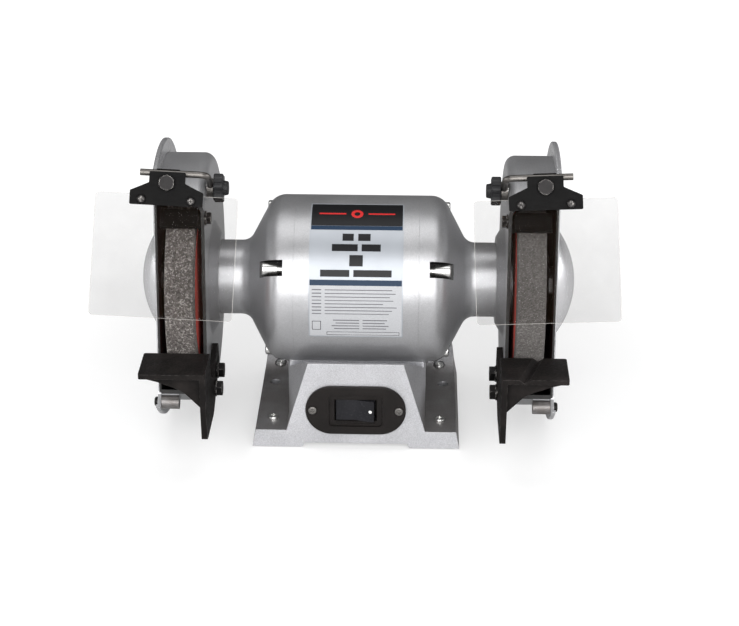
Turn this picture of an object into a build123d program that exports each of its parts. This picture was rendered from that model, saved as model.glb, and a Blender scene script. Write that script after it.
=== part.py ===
"""Eight-inch bench grinder with two wheels, guards, tool rests, spark arresters and eye shields.

X runs along the spindle to the right, Y towards the back and Z up, in millimetres.  The origin is on
the bench, under the middle of the machine's outline.  The right-hand pieces are drawn and the
left-hand ones are their mirror images.
"""

import os
from math import cos, radians, sin, sqrt

from build123d import *

# Overall layout: depths (Y) and heights (Z) named *_Y and *_Z below are measured from the spindle axis.
SPINDLE_HEIGHT = 138.0
REST_FRONT_Y = -145.0
COVER_RADIUS = 128.0
SPINDLE_Y = -(REST_FRONT_Y + COVER_RADIUS) / 2
RUN_GAP = 0.3
SNUG = 0.05

# Motor housing
SHELL_RADIUS = 77.0
SHELL_WALL = 4.0
SHELL_HALF = 56.0
SHOULDER_X = 77.5
CONE_END_X = 100.0
NECK_RADIUS = 34.3
NECK_END_X = 126.4
SHOULDER_ROUND = 18.0
NECK_ROUND = 12.0
BOLT_CIRCLE = 66.0
THROUGH_BOLT_RADIUS = 2.5
BOLT_ANGLES = [30.0, 120.0, 210.0, 300.0]
POCKET_FLOOR_X = 65.5
POCKET_WIDTH = 14.4
CAP_RADIUS = 5.9
CAP_LENGTH = 14.0
CAP_STANDOFF = 5.0
CAP_SLEEVE_RADIUS = 4.2
LABEL_HALF_WIDTH = 42.0
LABEL_THICKNESS = 0.4
LABEL_FROM, LABEL_TO = -19.0, 84.0

# Motor internals
CORE_HALF = 32.0
STATOR_BORE = 40.0
ROTOR_RADIUS = 39.4
SHAFT_RADIUS = 10.0
SEAT_RADIUS = 8.5
SPINDLE_RADIUS = 15.875 / 2
BEARING_RADIUS = 20.0
BEARING_WIDTH = 12.0
BEARING_END_X = 122.0
PRELOAD_WASHER = 1.0
BALL_CIRCLE = 14.25
BALL_RADIUS = 3.35
BALLS = 8
WINDING_REACH = 19.0
WINDING_RADII = (43.0, 61.0)
FAN_BLADES = 9

# Grinding wheels and their clamping stack
WHEEL_RADIUS = 203.2 / 2
WHEEL_WIDTH = 25.4
WHEEL_X = 142.0
BLOTTER_RADIUS = 84.0
BLOTTER_THICKNESS = 0.8
FLANGE_RADIUS = 38.0
INNER_FLANGE_X = 131.5
OUTER_FLANGE_WIDTH = 6.4
NUT_ACROSS = 24.0
NUT_WIDTH = 11.0

# Wheel guards
GUARD_FACE_X = 134.0
GUARD_WALL = 3.0
GUARD_RADIUS = 114.8
GUARD_EDGE_X = 176.0
GUARD_ROUND = 9.0
BOSS_BASE_RADIUS = 53.0
BOSS_RADIUS = 40.0
MOUTH_TOP = (-60.0, 96.0)
MOUTH_BOTTOM = (-81.0, -78.0)
COVER_FACE_X = 179.0
DOME_RADIUS = 80.0
DOME_BASE_RADIUS = 53.0
DOME_WALL = 2.5
COVER_EAR_Z = -80.0
RIM_BEAD_WIDTH = 2.6
RIM_BEAD_HEIGHT = 1.6
COVER_SCREW_CIRCLE = 120.5
COVER_SCREW_ANGLES = [-48.0, 138.0, 215.0]
COVER_SCREW_RADIUS = 2.0
LUG_RADIUS = 6.5
LUG_LENGTH = 16.0
SLOT_SPAN = (120.0, 140.0)
GUARD_SCREW_CIRCLE = 27.0
GUARD_SCREW_ANGLES = [90.0, 210.0, 330.0]

# Tool rests
REST_TOP_Z = -30.0
REST_BACK_Y = -102.0
REST_THICKNESS = 4.5
REST_OUTER_X = 187.0
ARM_X0, ARM_X1 = 128.5, 133.7
REST_BOLTS = [(-69.0, -81.0), (-49.0, -72.5)]
REST_SLIDE = (-0.92, -0.391)
REST_TRAVEL = 14.0
REST_BOLT_RADIUS = 3.0
REST_HEAD_ACROSS = 13.0

# Spark arresters
ARRESTER_INNER_X = 137.3
ARRESTER_OUTER_X = 172.0
ARRESTER_LOW = (-70.9, 76.8)
ARRESTER_HIGH = (-55.8, 88.3)
ARRESTER_THICKNESS = 2.2
ARRESTER_BOLT = (-56.0, 81.0)
ARRESTER_BOLT_RADIUS = 2.5
ARRESTER_SLIDE = (-0.606, 0.795)
ARRESTER_TRAVEL = 4.0

# Eye shields: the rod that carries each one, its pivot on the guard and the clamp
PIVOT = (-31.0, 100.0)
STUD_RADIUS = 4.0
ARM_WIRE_X = 130.3
ROD_POINT = (164.3, -59.6, 124.4)
ROD_RADIUS = 3.0
ROD_REACH = 24.5
ROD_TILT = 2.5
SHIELD_ELEVATION = 26.0
SHIELD_HALF_WIDTH = 62.75
SHIELD_TOP = -19.0
SHIELD_HEIGHT = 108.0
SHIELD_THICKNESS = 3.0
CLAMP_SCREW_X = 21.6
CLAMP_SCREW_DROP = -24.1
CLAMP_BOLT_DROP = -9.2
CLAMP_BOLT_RADIUS = 3.0
CLAMP_PLATE = 3.0
CLAMP_SCREW_HOLE = 2.2
SHIELD_CORNER = 4.0
KNOB_RADIUS = 13.5
KNOB_LOBES = 6

# Base casting: heights here are above the bench
FOOT_PROUD = 1.0
BASE_FRONT_Y = -75.0
BASE_BACK_Y = 80.0
BASE_HALF_WIDTH = 95.0
FLANGE_TOP = 18.0
REAR_BOSS_TOP = 22.0
REAR_WALL_TOP = 43.0
SHOULDER_CORNER = 14.0
SWEEP_START_Y = 30.0
SWEEP_RADIUS = 50.0
PANEL_TOP = 86.0
PANEL_TOP_HALF = 43.3
PANEL_FOOT_HALF = 63.5
BLOCK_FRONT_Y = -35.0
BASE_WALL = 5.0
CAVITY_TOP = 55.0
ARCH_HALF = 47.0
ARCH_RISE = 4.3
BENCH_HOLE_X, BENCH_HOLE_Y = 80.5, 22.0
BENCH_HOLE_RADIUS = 5.0
FOOT_PLACES = [(sx * 77.0, y) for sx in (-1, 1) for y in (-52.0, 52.0)]
PLATE_SCREWS = [(sx * 52.6, y) for sx in (-1, 1) for y in (-58.0, 64.0)]
BOTTOM_PLATE_Z = 6.5
BOTTOM_PLATE_THICKNESS = 1.5
MOUNT_BOLT_RADIUS = 3.0
MOUNT_BOLTS = [(sx * 38.0, sy * 12.0) for sx in (-1, 1) for sy in (-1, 1)]
GLAND_X, GLAND_Z = -30.0, 30.0
GLAND_RADIUS = 8.0
CORD_RADIUS = 4.5
CAPACITOR_Y, CAPACITOR_Z = 42.0, 33.0
CAPACITOR_RADIUS = 17.0
CAPACITOR_LENGTH = 68.0
FOOT_HEIGHT = 3.5
FOOT_RADIUS = 10.5

# Switch
SWITCH_Z = 40.0
PLATE_LENGTH, PLATE_HEIGHT, PLATE_THICKNESS = 91.5, 48.4, 3.0
WINDOW_LENGTH, WINDOW_HEIGHT = 48.5, 32.0
SWITCH_SCREW_X = 39.4
SWITCH_HALF_LENGTH = 20.3
SWITCH_HALF_HEIGHT = 13.8
SWITCH_DEPTH = 26.0
ROCKER_PIVOT_Y = -72.5
ROCKER_HALF_LENGTH = 17.6
ROCKER_HALF_HEIGHT = 10.3
ROCKER_REST_ANGLE = -8.0


def on_spindle(part):
    """Moves a part drawn about the spindle to its place above the bench."""
    return Pos(0, SPINDLE_Y, SPINDLE_HEIGHT) * part


def on_bench(part):
    """Moves a part drawn with heights above the bench to the spindle's depth."""
    return Pos(0, SPINDLE_Y, 0) * part


def turned(*points, rounds=()):
    """A solid of revolution about the spindle from (x, radius) points, with rounded corners."""
    face = make_face(Polyline(*points, close=True))
    for corner, radius in rounds:
        face = fillet(face.vertices().sort_by_distance((*corner, 0))[0], radius)
    return revolve(face, Axis.X)


def prism_x(points, x0, x1, rounds=()):
    """A prism from (y, z) points, from x0 to x1, with rounded corners."""
    face = make_face(Polyline(*points, close=True))
    for corner, radius in rounds:
        face = fillet(face.vertices().sort_by_distance((*corner, 0))[0], radius)
    return extrude(Plane.YZ.offset(x0) * face, x1 - x0)


def prism_y(points, y0, y1, rounds=()):
    """A prism from (x, z) points, from y0 to y1, with rounded corners."""
    face = make_face(Polyline(*points, close=True))
    for corner, radius in rounds:
        face = fillet(face.vertices().sort_by_distance((*corner, 0))[0], radius)
    return extrude(Plane(origin=(0, y1, 0), x_dir=(1, 0, 0), z_dir=(0, -1, 0)) * face, y1 - y0)


def box(x0, x1, y0, y1, z0, z1):
    """A box between two values on each axis."""
    return Pos((x0 + x1) / 2, (y0 + y1) / 2, (z0 + z1) / 2) * Box(x1 - x0, y1 - y0, z1 - z0)


def rod_x(x0, x1, radius, y=0.0, z=0.0):
    """A round bar along X."""
    return Pos((x0 + x1) / 2, y, z) * Rot(0, 90, 0) * Cylinder(radius, x1 - x0)


def rod_y(y0, y1, radius, x=0.0, z=0.0):
    """A round bar along Y."""
    return Pos(x, (y0 + y1) / 2, z) * Rot(90, 0, 0) * Cylinder(radius, y1 - y0)


def rod_z(z0, z1, radius, x=0.0, y=0.0):
    """A round bar along Z."""
    return Pos(x, y, (z0 + z1) / 2) * Cylinder(radius, z1 - z0)


def around(radius, angle):
    """The (y, z) of a point at this radius, its angle counted upwards from straight ahead."""
    return -radius * cos(radians(angle)), radius * sin(radians(angle))


def hex_prism(across, height, hole=0.0):
    """A hexagonal head or nut standing on z = 0, with its outer corners turned off."""
    flats = extrude(RegularPolygon(across / 2, 6, major_radius=False), height)
    blank = Pos(0, 0, height / 2) * Cylinder(across * 0.57, height)
    head = flats & chamfer(blank.edges().group_by(Axis.Z)[-1], across * 0.07)
    if hole:
        head -= Pos(0, 0, height / 2) * Cylinder(hole, height * 2)
    return head


def hex_bolt(across, head_height, radius, length):
    """A hex bolt whose head stands on z = 0 and whose shank points down."""
    return hex_prism(across, head_height) + Pos(0, 0, -length / 2) * Cylinder(radius, length)


def pan_screw(head_radius, head_height, radius, length):
    """A pan-head screw with a cross recess, head on z = 0 and shank down."""
    head = Pos(0, 0, head_height / 2) * Cylinder(head_radius, head_height)
    head = fillet(head.edges().group_by(Axis.Z)[-1], head_height * 0.55)
    blade = Pos(0, 0, head_height) * Box(head_radius * 1.1, head_radius * 0.28, head_height * 0.9)
    head = head - blade - Rot(0, 0, 90) * blade
    return head + Pos(0, 0, -length / 2) * Cylinder(radius, length)


def aim(part, x, y, z, direction):
    """Puts a part drawn along +Z at a point, facing a direction."""
    return Plane(origin=(x, y, z), z_dir=direction).location * part


def group(parts):
    """Separate solids that share one node."""
    return Compound([solid for part in parts for solid in part.solids()])


def left(part):
    """The left-hand twin of a right-hand part."""
    return mirror(part, about=Plane.YZ)


# ---------------------------------------------------------------- motor housing


def motor_shell():
    inner = SHELL_RADIUS - SHELL_WALL
    shell = turned(
        (-SHELL_HALF, inner),
        (-SHELL_HALF, SHELL_RADIUS),
        (SHELL_HALF, SHELL_RADIUS),
        (SHELL_HALF, inner),
    )
    for x, y in MOUNT_BOLTS:
        shell -= rod_z(-SHELL_RADIUS - 5, 0, MOUNT_BOLT_RADIUS + SNUG, x, y)
    return shell


def end_bell():
    inner = SHELL_RADIUS - SHELL_WALL
    bell = turned(
        (SHELL_HALF, 0),
        (SHELL_HALF, SHELL_RADIUS),
        (SHOULDER_X, SHELL_RADIUS),
        (CONE_END_X, NECK_RADIUS),
        (NECK_END_X, NECK_RADIUS),
        (NECK_END_X, 0),
        rounds=[((SHOULDER_X, SHELL_RADIUS), SHOULDER_ROUND), ((CONE_END_X, NECK_RADIUS), NECK_ROUND)],
    )
    hollow = turned(
        (SHELL_HALF - 1, 0),
        (SHELL_HALF - 1, inner),
        (71.0, inner),
        (92.0, 33.0),
        (100.0, 26.0),
        (108.0, 26.0),
        (108.0, BEARING_RADIUS),
        (BEARING_END_X, BEARING_RADIUS),
        (BEARING_END_X, 12.0),
        (NECK_END_X + 1, 12.0),
        (NECK_END_X + 1, 0),
    )
    bosses = Part()
    pockets = Part()
    for angle in BOLT_ANGLES:
        y, z = around(BOLT_CIRCLE, angle)
        bosses += rod_x(SHELL_HALF, 84.0, 11.0, y, z)
        slot = Pos(0, -(BOLT_CIRCLE - 7 + 20), 0) * Box(40, 40, POCKET_WIDTH)
        pockets += Rot(-angle, 0, 0) * (Pos(POCKET_FLOOR_X + 20, 0, 0) * slot)
        pockets += rod_x(SHELL_HALF - 1, POCKET_FLOOR_X + 1, THROUGH_BOLT_RADIUS + SNUG, y, z)
    bell = (bell - hollow) + (bell & bosses) - pockets
    for angle in GUARD_SCREW_ANGLES:
        y, z = around(GUARD_SCREW_CIRCLE, angle)
        bell -= rod_x(NECK_END_X - 10, NECK_END_X + 1, 2.0 + SNUG, y, z)
    return bell


def socket_cap():
    """The long round head of a through-bolt, on its lock washers and with its hex socket."""
    head = Pos(0, 0, CAP_LENGTH / 2) * Cylinder(CAP_RADIUS, CAP_LENGTH)
    head = chamfer(head.edges().group_by(Axis.Z)[-1], 1.0)
    head -= Pos(0, 0, CAP_LENGTH - 4.0) * extrude(RegularPolygon(2.5, 6, major_radius=False), 5.0)
    washers = Pos(0, 0, CAP_STANDOFF / 2) * Cylinder(CAP_SLEEVE_RADIUS, CAP_STANDOFF)
    return Pos(0, 0, CAP_STANDOFF) * head + washers


def through_bolts():
    bolts = []
    for angle in BOLT_ANGLES:
        y, z = around(BOLT_CIRCLE, angle)
        bolt = rod_x(-POCKET_FLOOR_X, POCKET_FLOOR_X, THROUGH_BOLT_RADIUS, y, z)
        for side in (-1, 1):
            bolt += aim(socket_cap(), side * POCKET_FLOOR_X, y, z, (side, 0, 0))
        bolts.append(bolt)
    return group(bolts)


def nameplate():
    outer = SHELL_RADIUS + LABEL_THICKNESS
    face = make_face(
        Polyline(
            (-LABEL_HALF_WIDTH, SHELL_RADIUS),
            (-LABEL_HALF_WIDTH, outer),
            (LABEL_HALF_WIDTH, outer),
            (LABEL_HALF_WIDTH, SHELL_RADIUS),
            close=True,
        )
    )
    plate = revolve(face, Axis.X, LABEL_TO - LABEL_FROM)
    return Rot(180 - LABEL_TO, 0, 0) * plate


# ---------------------------------------------------------------- motor internals


def stator_core():
    core = turned(
        (-CORE_HALF, STATOR_BORE), (-CORE_HALF, SHELL_RADIUS - SHELL_WALL),
        (CORE_HALF, SHELL_RADIUS - SHELL_WALL), (CORE_HALF, STATOR_BORE),
    )
    for angle in BOLT_ANGLES:
        y, z = around(BOLT_CIRCLE, angle)
        core -= rod_x(-CORE_HALF - 1, CORE_HALF + 1, 3.2, y, z)
    return core


def stator_windings():
    low, high = WINDING_RADII
    end = CORE_HALF + WINDING_REACH
    corners = [(CORE_HALF, low), (CORE_HALF, high), (end, high), (end, low)]
    coil = turned(*corners, rounds=[(corner, 7.0) for corner in corners[2:]])
    return group([coil, left(coil)])


def rotor_core():
    core = turned((-CORE_HALF, SHAFT_RADIUS), (-CORE_HALF, ROTOR_RADIUS), (CORE_HALF, ROTOR_RADIUS),
                  (CORE_HALF, SHAFT_RADIUS))
    ring = turned((CORE_HALF, 26.0), (CORE_HALF, 38.0), (CORE_HALF + 9, 37.0), (CORE_HALF + 9, 27.0))
    blades = Part()
    blade = box(CORE_HALF + 8, CORE_HALF + 16, -1.2, 1.2, 28.0, 36.0)
    for index in range(FAN_BLADES):
        blades += Rot(index * 360 / FAN_BLADES, 0, 0) * blade
    fan = ring + blades
    return core + fan + left(fan)


def shaft():
    right_half = turned(
        (0, SHAFT_RADIUS),
        (106.0, SHAFT_RADIUS),
        (106.0, SEAT_RADIUS),
        (INNER_FLANGE_X, SEAT_RADIUS),
        (INNER_FLANGE_X, SPINDLE_RADIUS),
        (189.0, SPINDLE_RADIUS),
        (190.0, SPINDLE_RADIUS - 1),
        (190.0, 0),
        (0, 0),
    )
    return right_half + left(right_half)


def bearing_place(side):
    """The inner-end x of the bearing; the right-hand one leaves room for the preload washer."""
    washer = PRELOAD_WASHER if side > 0 else 0.0
    return BEARING_END_X - BEARING_WIDTH - washer


def bearing_ring(x0, inner, outer, groove_radius):
    """A bearing ring with a round groove for the balls."""
    ring = turned((x0, inner), (x0, outer), (x0 + BEARING_WIDTH, outer), (x0 + BEARING_WIDTH, inner))
    track = revolve(Pos(x0 + BEARING_WIDTH / 2, BALL_CIRCLE) * Circle(groove_radius), Axis.X)
    return ring - track


def bearing_outer_rings():
    rings = []
    for side in (1, -1):
        x0 = bearing_place(side)
        ring = bearing_ring(x0, 16.8, BEARING_RADIUS, 3.5)
        rings.append(ring if side > 0 else left(ring))
    return group(rings)


def bearing_inner_races():
    """Inner rings, with the balls and cage of each as one turning ring."""
    rings = []
    for side in (1, -1):
        x0 = bearing_place(side)
        race = bearing_ring(x0, SEAT_RADIUS, 11.6, 3.3)
        middle = x0 + BEARING_WIDTH / 2
        balls = Part()
        for index in range(BALLS):
            y, z = around(BALL_CIRCLE, index * 360 / BALLS)
            balls += Pos(middle, y, z) * Sphere(BALL_RADIUS)
        start, end = middle - 1.2, middle + 1.2
        cage = turned((start, 11.0), (start, 16.2), (end, 16.2), (end, 11.0))
        ring = race + balls + cage
        rings.append(ring if side > 0 else left(ring))
    return group(rings)


def preload_washer():
    x0 = BEARING_END_X - PRELOAD_WASHER
    return turned((x0, 17.2), (x0, 19.8), (BEARING_END_X, 19.8), (BEARING_END_X, 17.2))


# ---------------------------------------------------------------- wheels


def inner_flange():
    end = WHEEL_X - BLOTTER_THICKNESS
    return turned(
        (INNER_FLANGE_X, SPINDLE_RADIUS),
        (INNER_FLANGE_X, 16.0),
        (end - 5.0, FLANGE_RADIUS - 4),
        (end - 3.5, FLANGE_RADIUS),
        (end, FLANGE_RADIUS),
        (end, FLANGE_RADIUS - 8),
        (end - 1.5, FLANGE_RADIUS - 9),
        (end - 1.5, SPINDLE_RADIUS),
    )


def blotters():
    start, bore = WHEEL_X - BLOTTER_THICKNESS, SPINDLE_RADIUS + 0.5
    first = turned((start, bore), (start, BLOTTER_RADIUS), (WHEEL_X, BLOTTER_RADIUS), (WHEEL_X, bore))
    second = Pos(WHEEL_WIDTH + BLOTTER_THICKNESS, 0, 0) * first
    return group([first, second, left(first), left(second)])


def wheel():
    end = WHEEL_X + WHEEL_WIDTH
    edge = 1.2
    return turned(
        (WHEEL_X, SPINDLE_RADIUS + SNUG),
        (WHEEL_X, WHEEL_RADIUS - edge),
        (WHEEL_X + edge, WHEEL_RADIUS),
        (end - edge, WHEEL_RADIUS),
        (end, WHEEL_RADIUS - edge),
        (end, SPINDLE_RADIUS + SNUG),
    )


def outer_flange():
    start = WHEEL_X + WHEEL_WIDTH + BLOTTER_THICKNESS
    end = start + OUTER_FLANGE_WIDTH
    return turned(
        (start + 1.5, SPINDLE_RADIUS + SNUG),
        (start + 1.5, FLANGE_RADIUS - 9),
        (start, FLANGE_RADIUS - 8),
        (start, FLANGE_RADIUS),
        (start + 2.5, FLANGE_RADIUS),
        (end, 24.0),
        (end, SPINDLE_RADIUS + SNUG),
    )


def spindle_nut():
    start = WHEEL_X + WHEEL_WIDTH + BLOTTER_THICKNESS + OUTER_FLANGE_WIDTH
    return aim(hex_prism(NUT_ACROSS, NUT_WIDTH - 2, SPINDLE_RADIUS), start, 0, 0, (1, 0, 0))


# ---------------------------------------------------------------- guards


def mouth_line(z):
    """Depth of the guard's straight front edge at height z."""
    slope = (MOUTH_TOP[0] - MOUTH_BOTTOM[0]) / (MOUTH_TOP[1] - MOUTH_BOTTOM[1])
    return MOUTH_TOP[0] + (z - MOUTH_TOP[1]) * slope


def slide_slot(start, direction, travel, radius):
    """A round-ended slot through the wall, from one (y, z) point and as long as the travel."""
    y, z = start
    dy, dz = (step * travel for step in direction)
    ends = rod_x(*SLOT_SPAN, radius, y, z) + rod_x(*SLOT_SPAN, radius, y + dy, z + dz)
    across = [(y + s * radius * direction[1], z - s * radius * direction[0]) for s in (1, -1)]
    far = [(ay + dy, az + dz) for ay, az in reversed(across)]
    return ends + prism_x(across + far, *SLOT_SPAN)


def guard_drum():
    """The turned shape of the inner guard: boss, wall and rim."""
    inside = GUARD_RADIUS - GUARD_WALL
    wall_in = GUARD_FACE_X + GUARD_WALL
    return turned(
        (NECK_END_X, 14.0),
        (NECK_END_X, BOSS_RADIUS),
        (GUARD_FACE_X, BOSS_BASE_RADIUS),
        (GUARD_FACE_X, GUARD_RADIUS),
        (GUARD_EDGE_X, GUARD_RADIUS),
        (GUARD_EDGE_X, inside),
        (wall_in, inside),
        (wall_in, 48.0),
        (130.0, 41.0),
        (130.0, 14.0),
        rounds=[
            ((GUARD_FACE_X, GUARD_RADIUS), GUARD_ROUND),
            ((wall_in, inside), GUARD_ROUND - GUARD_WALL),
            ((NECK_END_X, BOSS_RADIUS), 2.0),
            ((GUARD_FACE_X, BOSS_BASE_RADIUS), 6.0),
        ],
    )


def guard_lugs():
    """The webs that carry the cover screws' lugs on the guard's rim."""
    lugs = Part()
    start = GUARD_EDGE_X - LUG_LENGTH
    web = box(start, GUARD_EDGE_X, -COVER_SCREW_CIRCLE, -GUARD_RADIUS + 2, -5, 5)
    for angle in COVER_SCREW_ANGLES:
        y, z = around(COVER_SCREW_CIRCLE, angle)
        lugs += rod_x(start, GUARD_EDGE_X, LUG_RADIUS, y, z) + Rot(-angle, 0, 0) * web
    return lugs


def inner_guard():
    inside = GUARD_RADIUS - GUARD_WALL
    rim_in, rim_out = GUARD_FACE_X + GUARD_WALL + 8, GUARD_EDGE_X + 1
    guard = guard_drum() + guard_lugs()
    guard -= turned((rim_in, 0), (rim_in, inside), (rim_out, inside), (rim_out, 0))
    top, bottom = 200.0, -200.0
    mouth = [(mouth_line(top), top), (-300, top), (-300, bottom), (mouth_line(bottom), bottom)]
    guard -= prism_x(mouth, 120, 190)
    for angle in COVER_SCREW_ANGLES:
        y, z = around(COVER_SCREW_CIRCLE, angle)
        guard += rod_x(GUARD_EDGE_X - LUG_LENGTH, GUARD_EDGE_X, LUG_RADIUS, y, z)
        guard -= rod_x(GUARD_EDGE_X - 12, GUARD_EDGE_X + 1, COVER_SCREW_RADIUS + SNUG, y, z)
    for angle in GUARD_SCREW_ANGLES:
        y, z = around(GUARD_SCREW_CIRCLE, angle)
        guard -= rod_x(NECK_END_X - 1, 131, 2.2, y, z)
        guard -= aim(Pos(0, 0, -1.2) * Cone(2.0, 4.6, 2.6), 130.0, y, z, (1, 0, 0))
    for y, z in REST_BOLTS:
        guard -= rod_x(*SLOT_SPAN, REST_BOLT_RADIUS + SNUG, y, z)
    guard -= rod_x(*SLOT_SPAN, STUD_RADIUS + SNUG, *PIVOT)
    slot_radius = ARRESTER_BOLT_RADIUS + RUN_GAP
    return guard - slide_slot(ARRESTER_BOLT, ARRESTER_SLIDE, ARRESTER_TRAVEL, slot_radius)


def guard_screws():
    screws = []
    for angle in GUARD_SCREW_ANGLES:
        y, z = around(GUARD_SCREW_CIRCLE, angle)
        screw = aim(Pos(0, 0, -1.2) * Cone(2.0, 4.5, 2.4), 130.0, y, z, (1, 0, 0))
        screws.append(screw + rod_x(NECK_END_X - 9, 129, 2.0, y, z))
    return group(screws + [left(screw) for screw in screws])


def dome_arc(centre_x, radius, foot_x):
    """Half of the dome's section, from its foot to the spindle's axis."""
    foot = sqrt(radius**2 - (foot_x - centre_x) ** 2)
    half = radians(45) * foot / radius
    middle = (centre_x + radius * cos(half), radius * sin(half))
    return ThreePointArc((foot_x, foot), middle, (centre_x + radius, 0))


def outer_cover():
    centre_x = COVER_FACE_X - sqrt(DOME_RADIUS**2 - DOME_BASE_RADIUS**2)
    outside = dome_arc(centre_x, DOME_RADIUS, COVER_FACE_X)
    inside = dome_arc(centre_x, DOME_RADIUS - DOME_WALL, GUARD_EDGE_X)
    rim_x = COVER_FACE_X + RIM_BEAD_HEIGHT
    bead = COVER_RADIUS - RIM_BEAD_WIDTH
    rim = Polyline(
        inside @ 0,
        (GUARD_EDGE_X, COVER_RADIUS),
        (rim_x, COVER_RADIUS),
        (rim_x, bead),
        (COVER_FACE_X, bead),
        outside @ 0,
    )
    face = make_face(Curve() + [rim, outside, Line(outside @ 1, inside @ 1), inside])
    for corner, radius in [
        ((GUARD_EDGE_X, COVER_RADIUS), 1.2),
        ((rim_x, COVER_RADIUS), 1.2),
        ((COVER_FACE_X, DOME_BASE_RADIUS), 6.0),
    ]:
        face = fillet(face.vertices().sort_by_distance((*corner, 0))[0], radius)
    cover = revolve(face, Axis.X)
    top = 200.0
    corner = (mouth_line(COVER_EAR_Z), COVER_EAR_Z)
    outward = (3 * corner[0], 3 * corner[1])
    mouth = [(mouth_line(top), top), (-300, top), outward, corner]
    cover -= prism_x(mouth, 170, 215, rounds=[(corner, 5.0)])
    for angle in COVER_SCREW_ANGLES:
        y, z = around(COVER_SCREW_CIRCLE, angle)
        cover -= rod_x(170, 190, 2.2, y, z)
    return cover


def cover_screws():
    screws = []
    for angle in COVER_SCREW_ANGLES:
        y, z = around(COVER_SCREW_CIRCLE, angle)
        screw = pan_screw(4.5, 3.6, COVER_SCREW_RADIUS, 14.0)
        screws.append(aim(screw, COVER_FACE_X + SNUG, y, z, (1, 0, 0)))
    return group(screws + [left(screw) for screw in screws])


# ---------------------------------------------------------------- tool rests


def rest_arm():
    """The flat arm beside the guard, with its clamping slot."""
    rounded = [
        ((-141.0, -95.0), 2.0),
        ((-84.0, -99.0), 20.0),
        ((-25.0, -74.5), 6.0),
        ((-31.5, -50.5), 6.0),
        ((-76.0, -67.0), 12.0),
        ((-97.0, -56.0), 12.0),
    ]
    corners = [corner for corner, _ in rounded]
    front_edge = [(REST_FRONT_Y, REST_TOP_Z), (REST_FRONT_Y, -62.0), corners[0], (-134.0, -97.0)]
    outline = front_edge + corners[1:] + [(REST_BACK_Y, REST_TOP_Z)]
    arm = prism_x(outline, ARM_X0, ARM_X1, rounded)
    front, back = REST_BOLTS
    dy, dz = (-step * REST_TRAVEL for step in REST_SLIDE)
    radius = REST_BOLT_RADIUS + RUN_GAP
    rear = (back[0] + dy, back[1] + dz)
    slot = rod_x(*SLOT_SPAN, radius, *front) + rod_x(*SLOT_SPAN, radius, *rear)
    ry, rz = (radius * step for step in REST_SLIDE)
    across = [(front[0] + s * rz, front[1] - s * ry) for s in (1, -1)]
    far = [(rear[0] + s * rz, rear[1] - s * ry) for s in (-1, 1)]
    return arm - slot - prism_x(across + far, *SLOT_SPAN)


def tool_rest():
    low = REST_TOP_Z - REST_THICKNESS
    table = box(ARM_X0, REST_OUTER_X, REST_FRONT_Y, REST_BACK_Y, low, REST_TOP_Z)
    corners = table.edges().filter_by(Axis.Z).group_by(Axis.X)[-1]
    table = fillet(corners, 2.0)
    outline = [
        (ARM_X1 - 1, low + 1),
        (REST_OUTER_X - 1, low + 1),
        (REST_OUTER_X - 1, -36.0),
        (171.0, -40.0),
        (150.0, -48.0),
        (ARM_X1 - 1, -66.0),
    ]
    apron = prism_y(outline, -139.0, -134.0, rounds=[(corner, 30.0) for corner in outline[3:5]])
    return table + apron + rest_arm()


def drill_groove():
    """A V groove across the right-hand table for holding a drill bit at its point angle."""
    face = make_face(Polyline((-4.5, 0.01), (4.5, 0.01), (0, -3.2), close=True))
    vee = extrude(Rot(90, 0, 0) * face, 80, both=True)
    return Pos(155.0, (REST_FRONT_Y + REST_BACK_Y) / 2, REST_TOP_Z) * Rot(0, 0, -18) * vee


def rest_bolts():
    bolts = []
    for y, z in REST_BOLTS:
        face_x = ARM_X0 - RUN_GAP
        washer = rod_x(face_x - 1.4, face_x, 7.5, y, z)
        bolt = hex_bolt(REST_HEAD_ACROSS, 5.3, REST_BOLT_RADIUS, 12.0)
        bolts.append(washer + aim(bolt, face_x - 1.4, y, z, (-1, 0, 0)))
    return group(bolts + [left(bolt) for bolt in bolts])


# ---------------------------------------------------------------- spark arresters


def spark_arrester():
    (y0, z0), (y1, z1) = ARRESTER_LOW, ARRESTER_HIGH
    ty, tz = (ARRESTER_THICKNESS * step for step in ARRESTER_SLIDE)
    lip_y, lip_z = y0 + ARRESTER_SLIDE[0] * 4, z0 + ARRESTER_SLIDE[1] * 4
    plate = [(y0, z0), (y1, z1), (y1 + ty, z1 + tz), (y0 + ty, z0 + tz)]
    lip = [(y0, z0), (lip_y, lip_z), (lip_y + 1.6, lip_z + 1.2), (y0 + 1.6, z0 + 1.2)]
    ear = [(y0 + ty, z0 + tz), (y1 + ty, z1 + tz), (-47.0, 80.5), (-52.5, 73.0), (-62.0, 72.0)]
    arrester = prism_x(plate, ARRESTER_INNER_X, ARRESTER_OUTER_X)
    arrester += prism_x(lip, ARRESTER_INNER_X, ARRESTER_OUTER_X)
    ear_rounds = [(corner, 4.0) for corner in ear[2:4]]
    arrester += prism_x(ear, ARRESTER_INNER_X, ARRESTER_INNER_X + 2.0, ear_rounds)
    low = GUARD_RADIUS - GUARD_WALL - 14
    guard_round = turned(
        (GUARD_FACE_X, low),
        (GUARD_FACE_X, GUARD_RADIUS),
        (ARRESTER_INNER_X + 5, GUARD_RADIUS),
        (ARRESTER_INNER_X, low),
    )
    return arrester - guard_round - rod_x(120, 145, ARRESTER_BOLT_RADIUS + SNUG, *ARRESTER_BOLT)


def arrester_bolt():
    y, z = ARRESTER_BOLT
    face_x = GUARD_FACE_X - RUN_GAP
    washer = rod_x(face_x - 1.2, face_x, 6.5, y, z)
    bolt = hex_bolt(10.0, 4.2, ARRESTER_BOLT_RADIUS, 6.8)
    return washer + aim(bolt, face_x - 1.2, y, z, (-1, 0, 0))


# ---------------------------------------------------------------- eye shields


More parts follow.
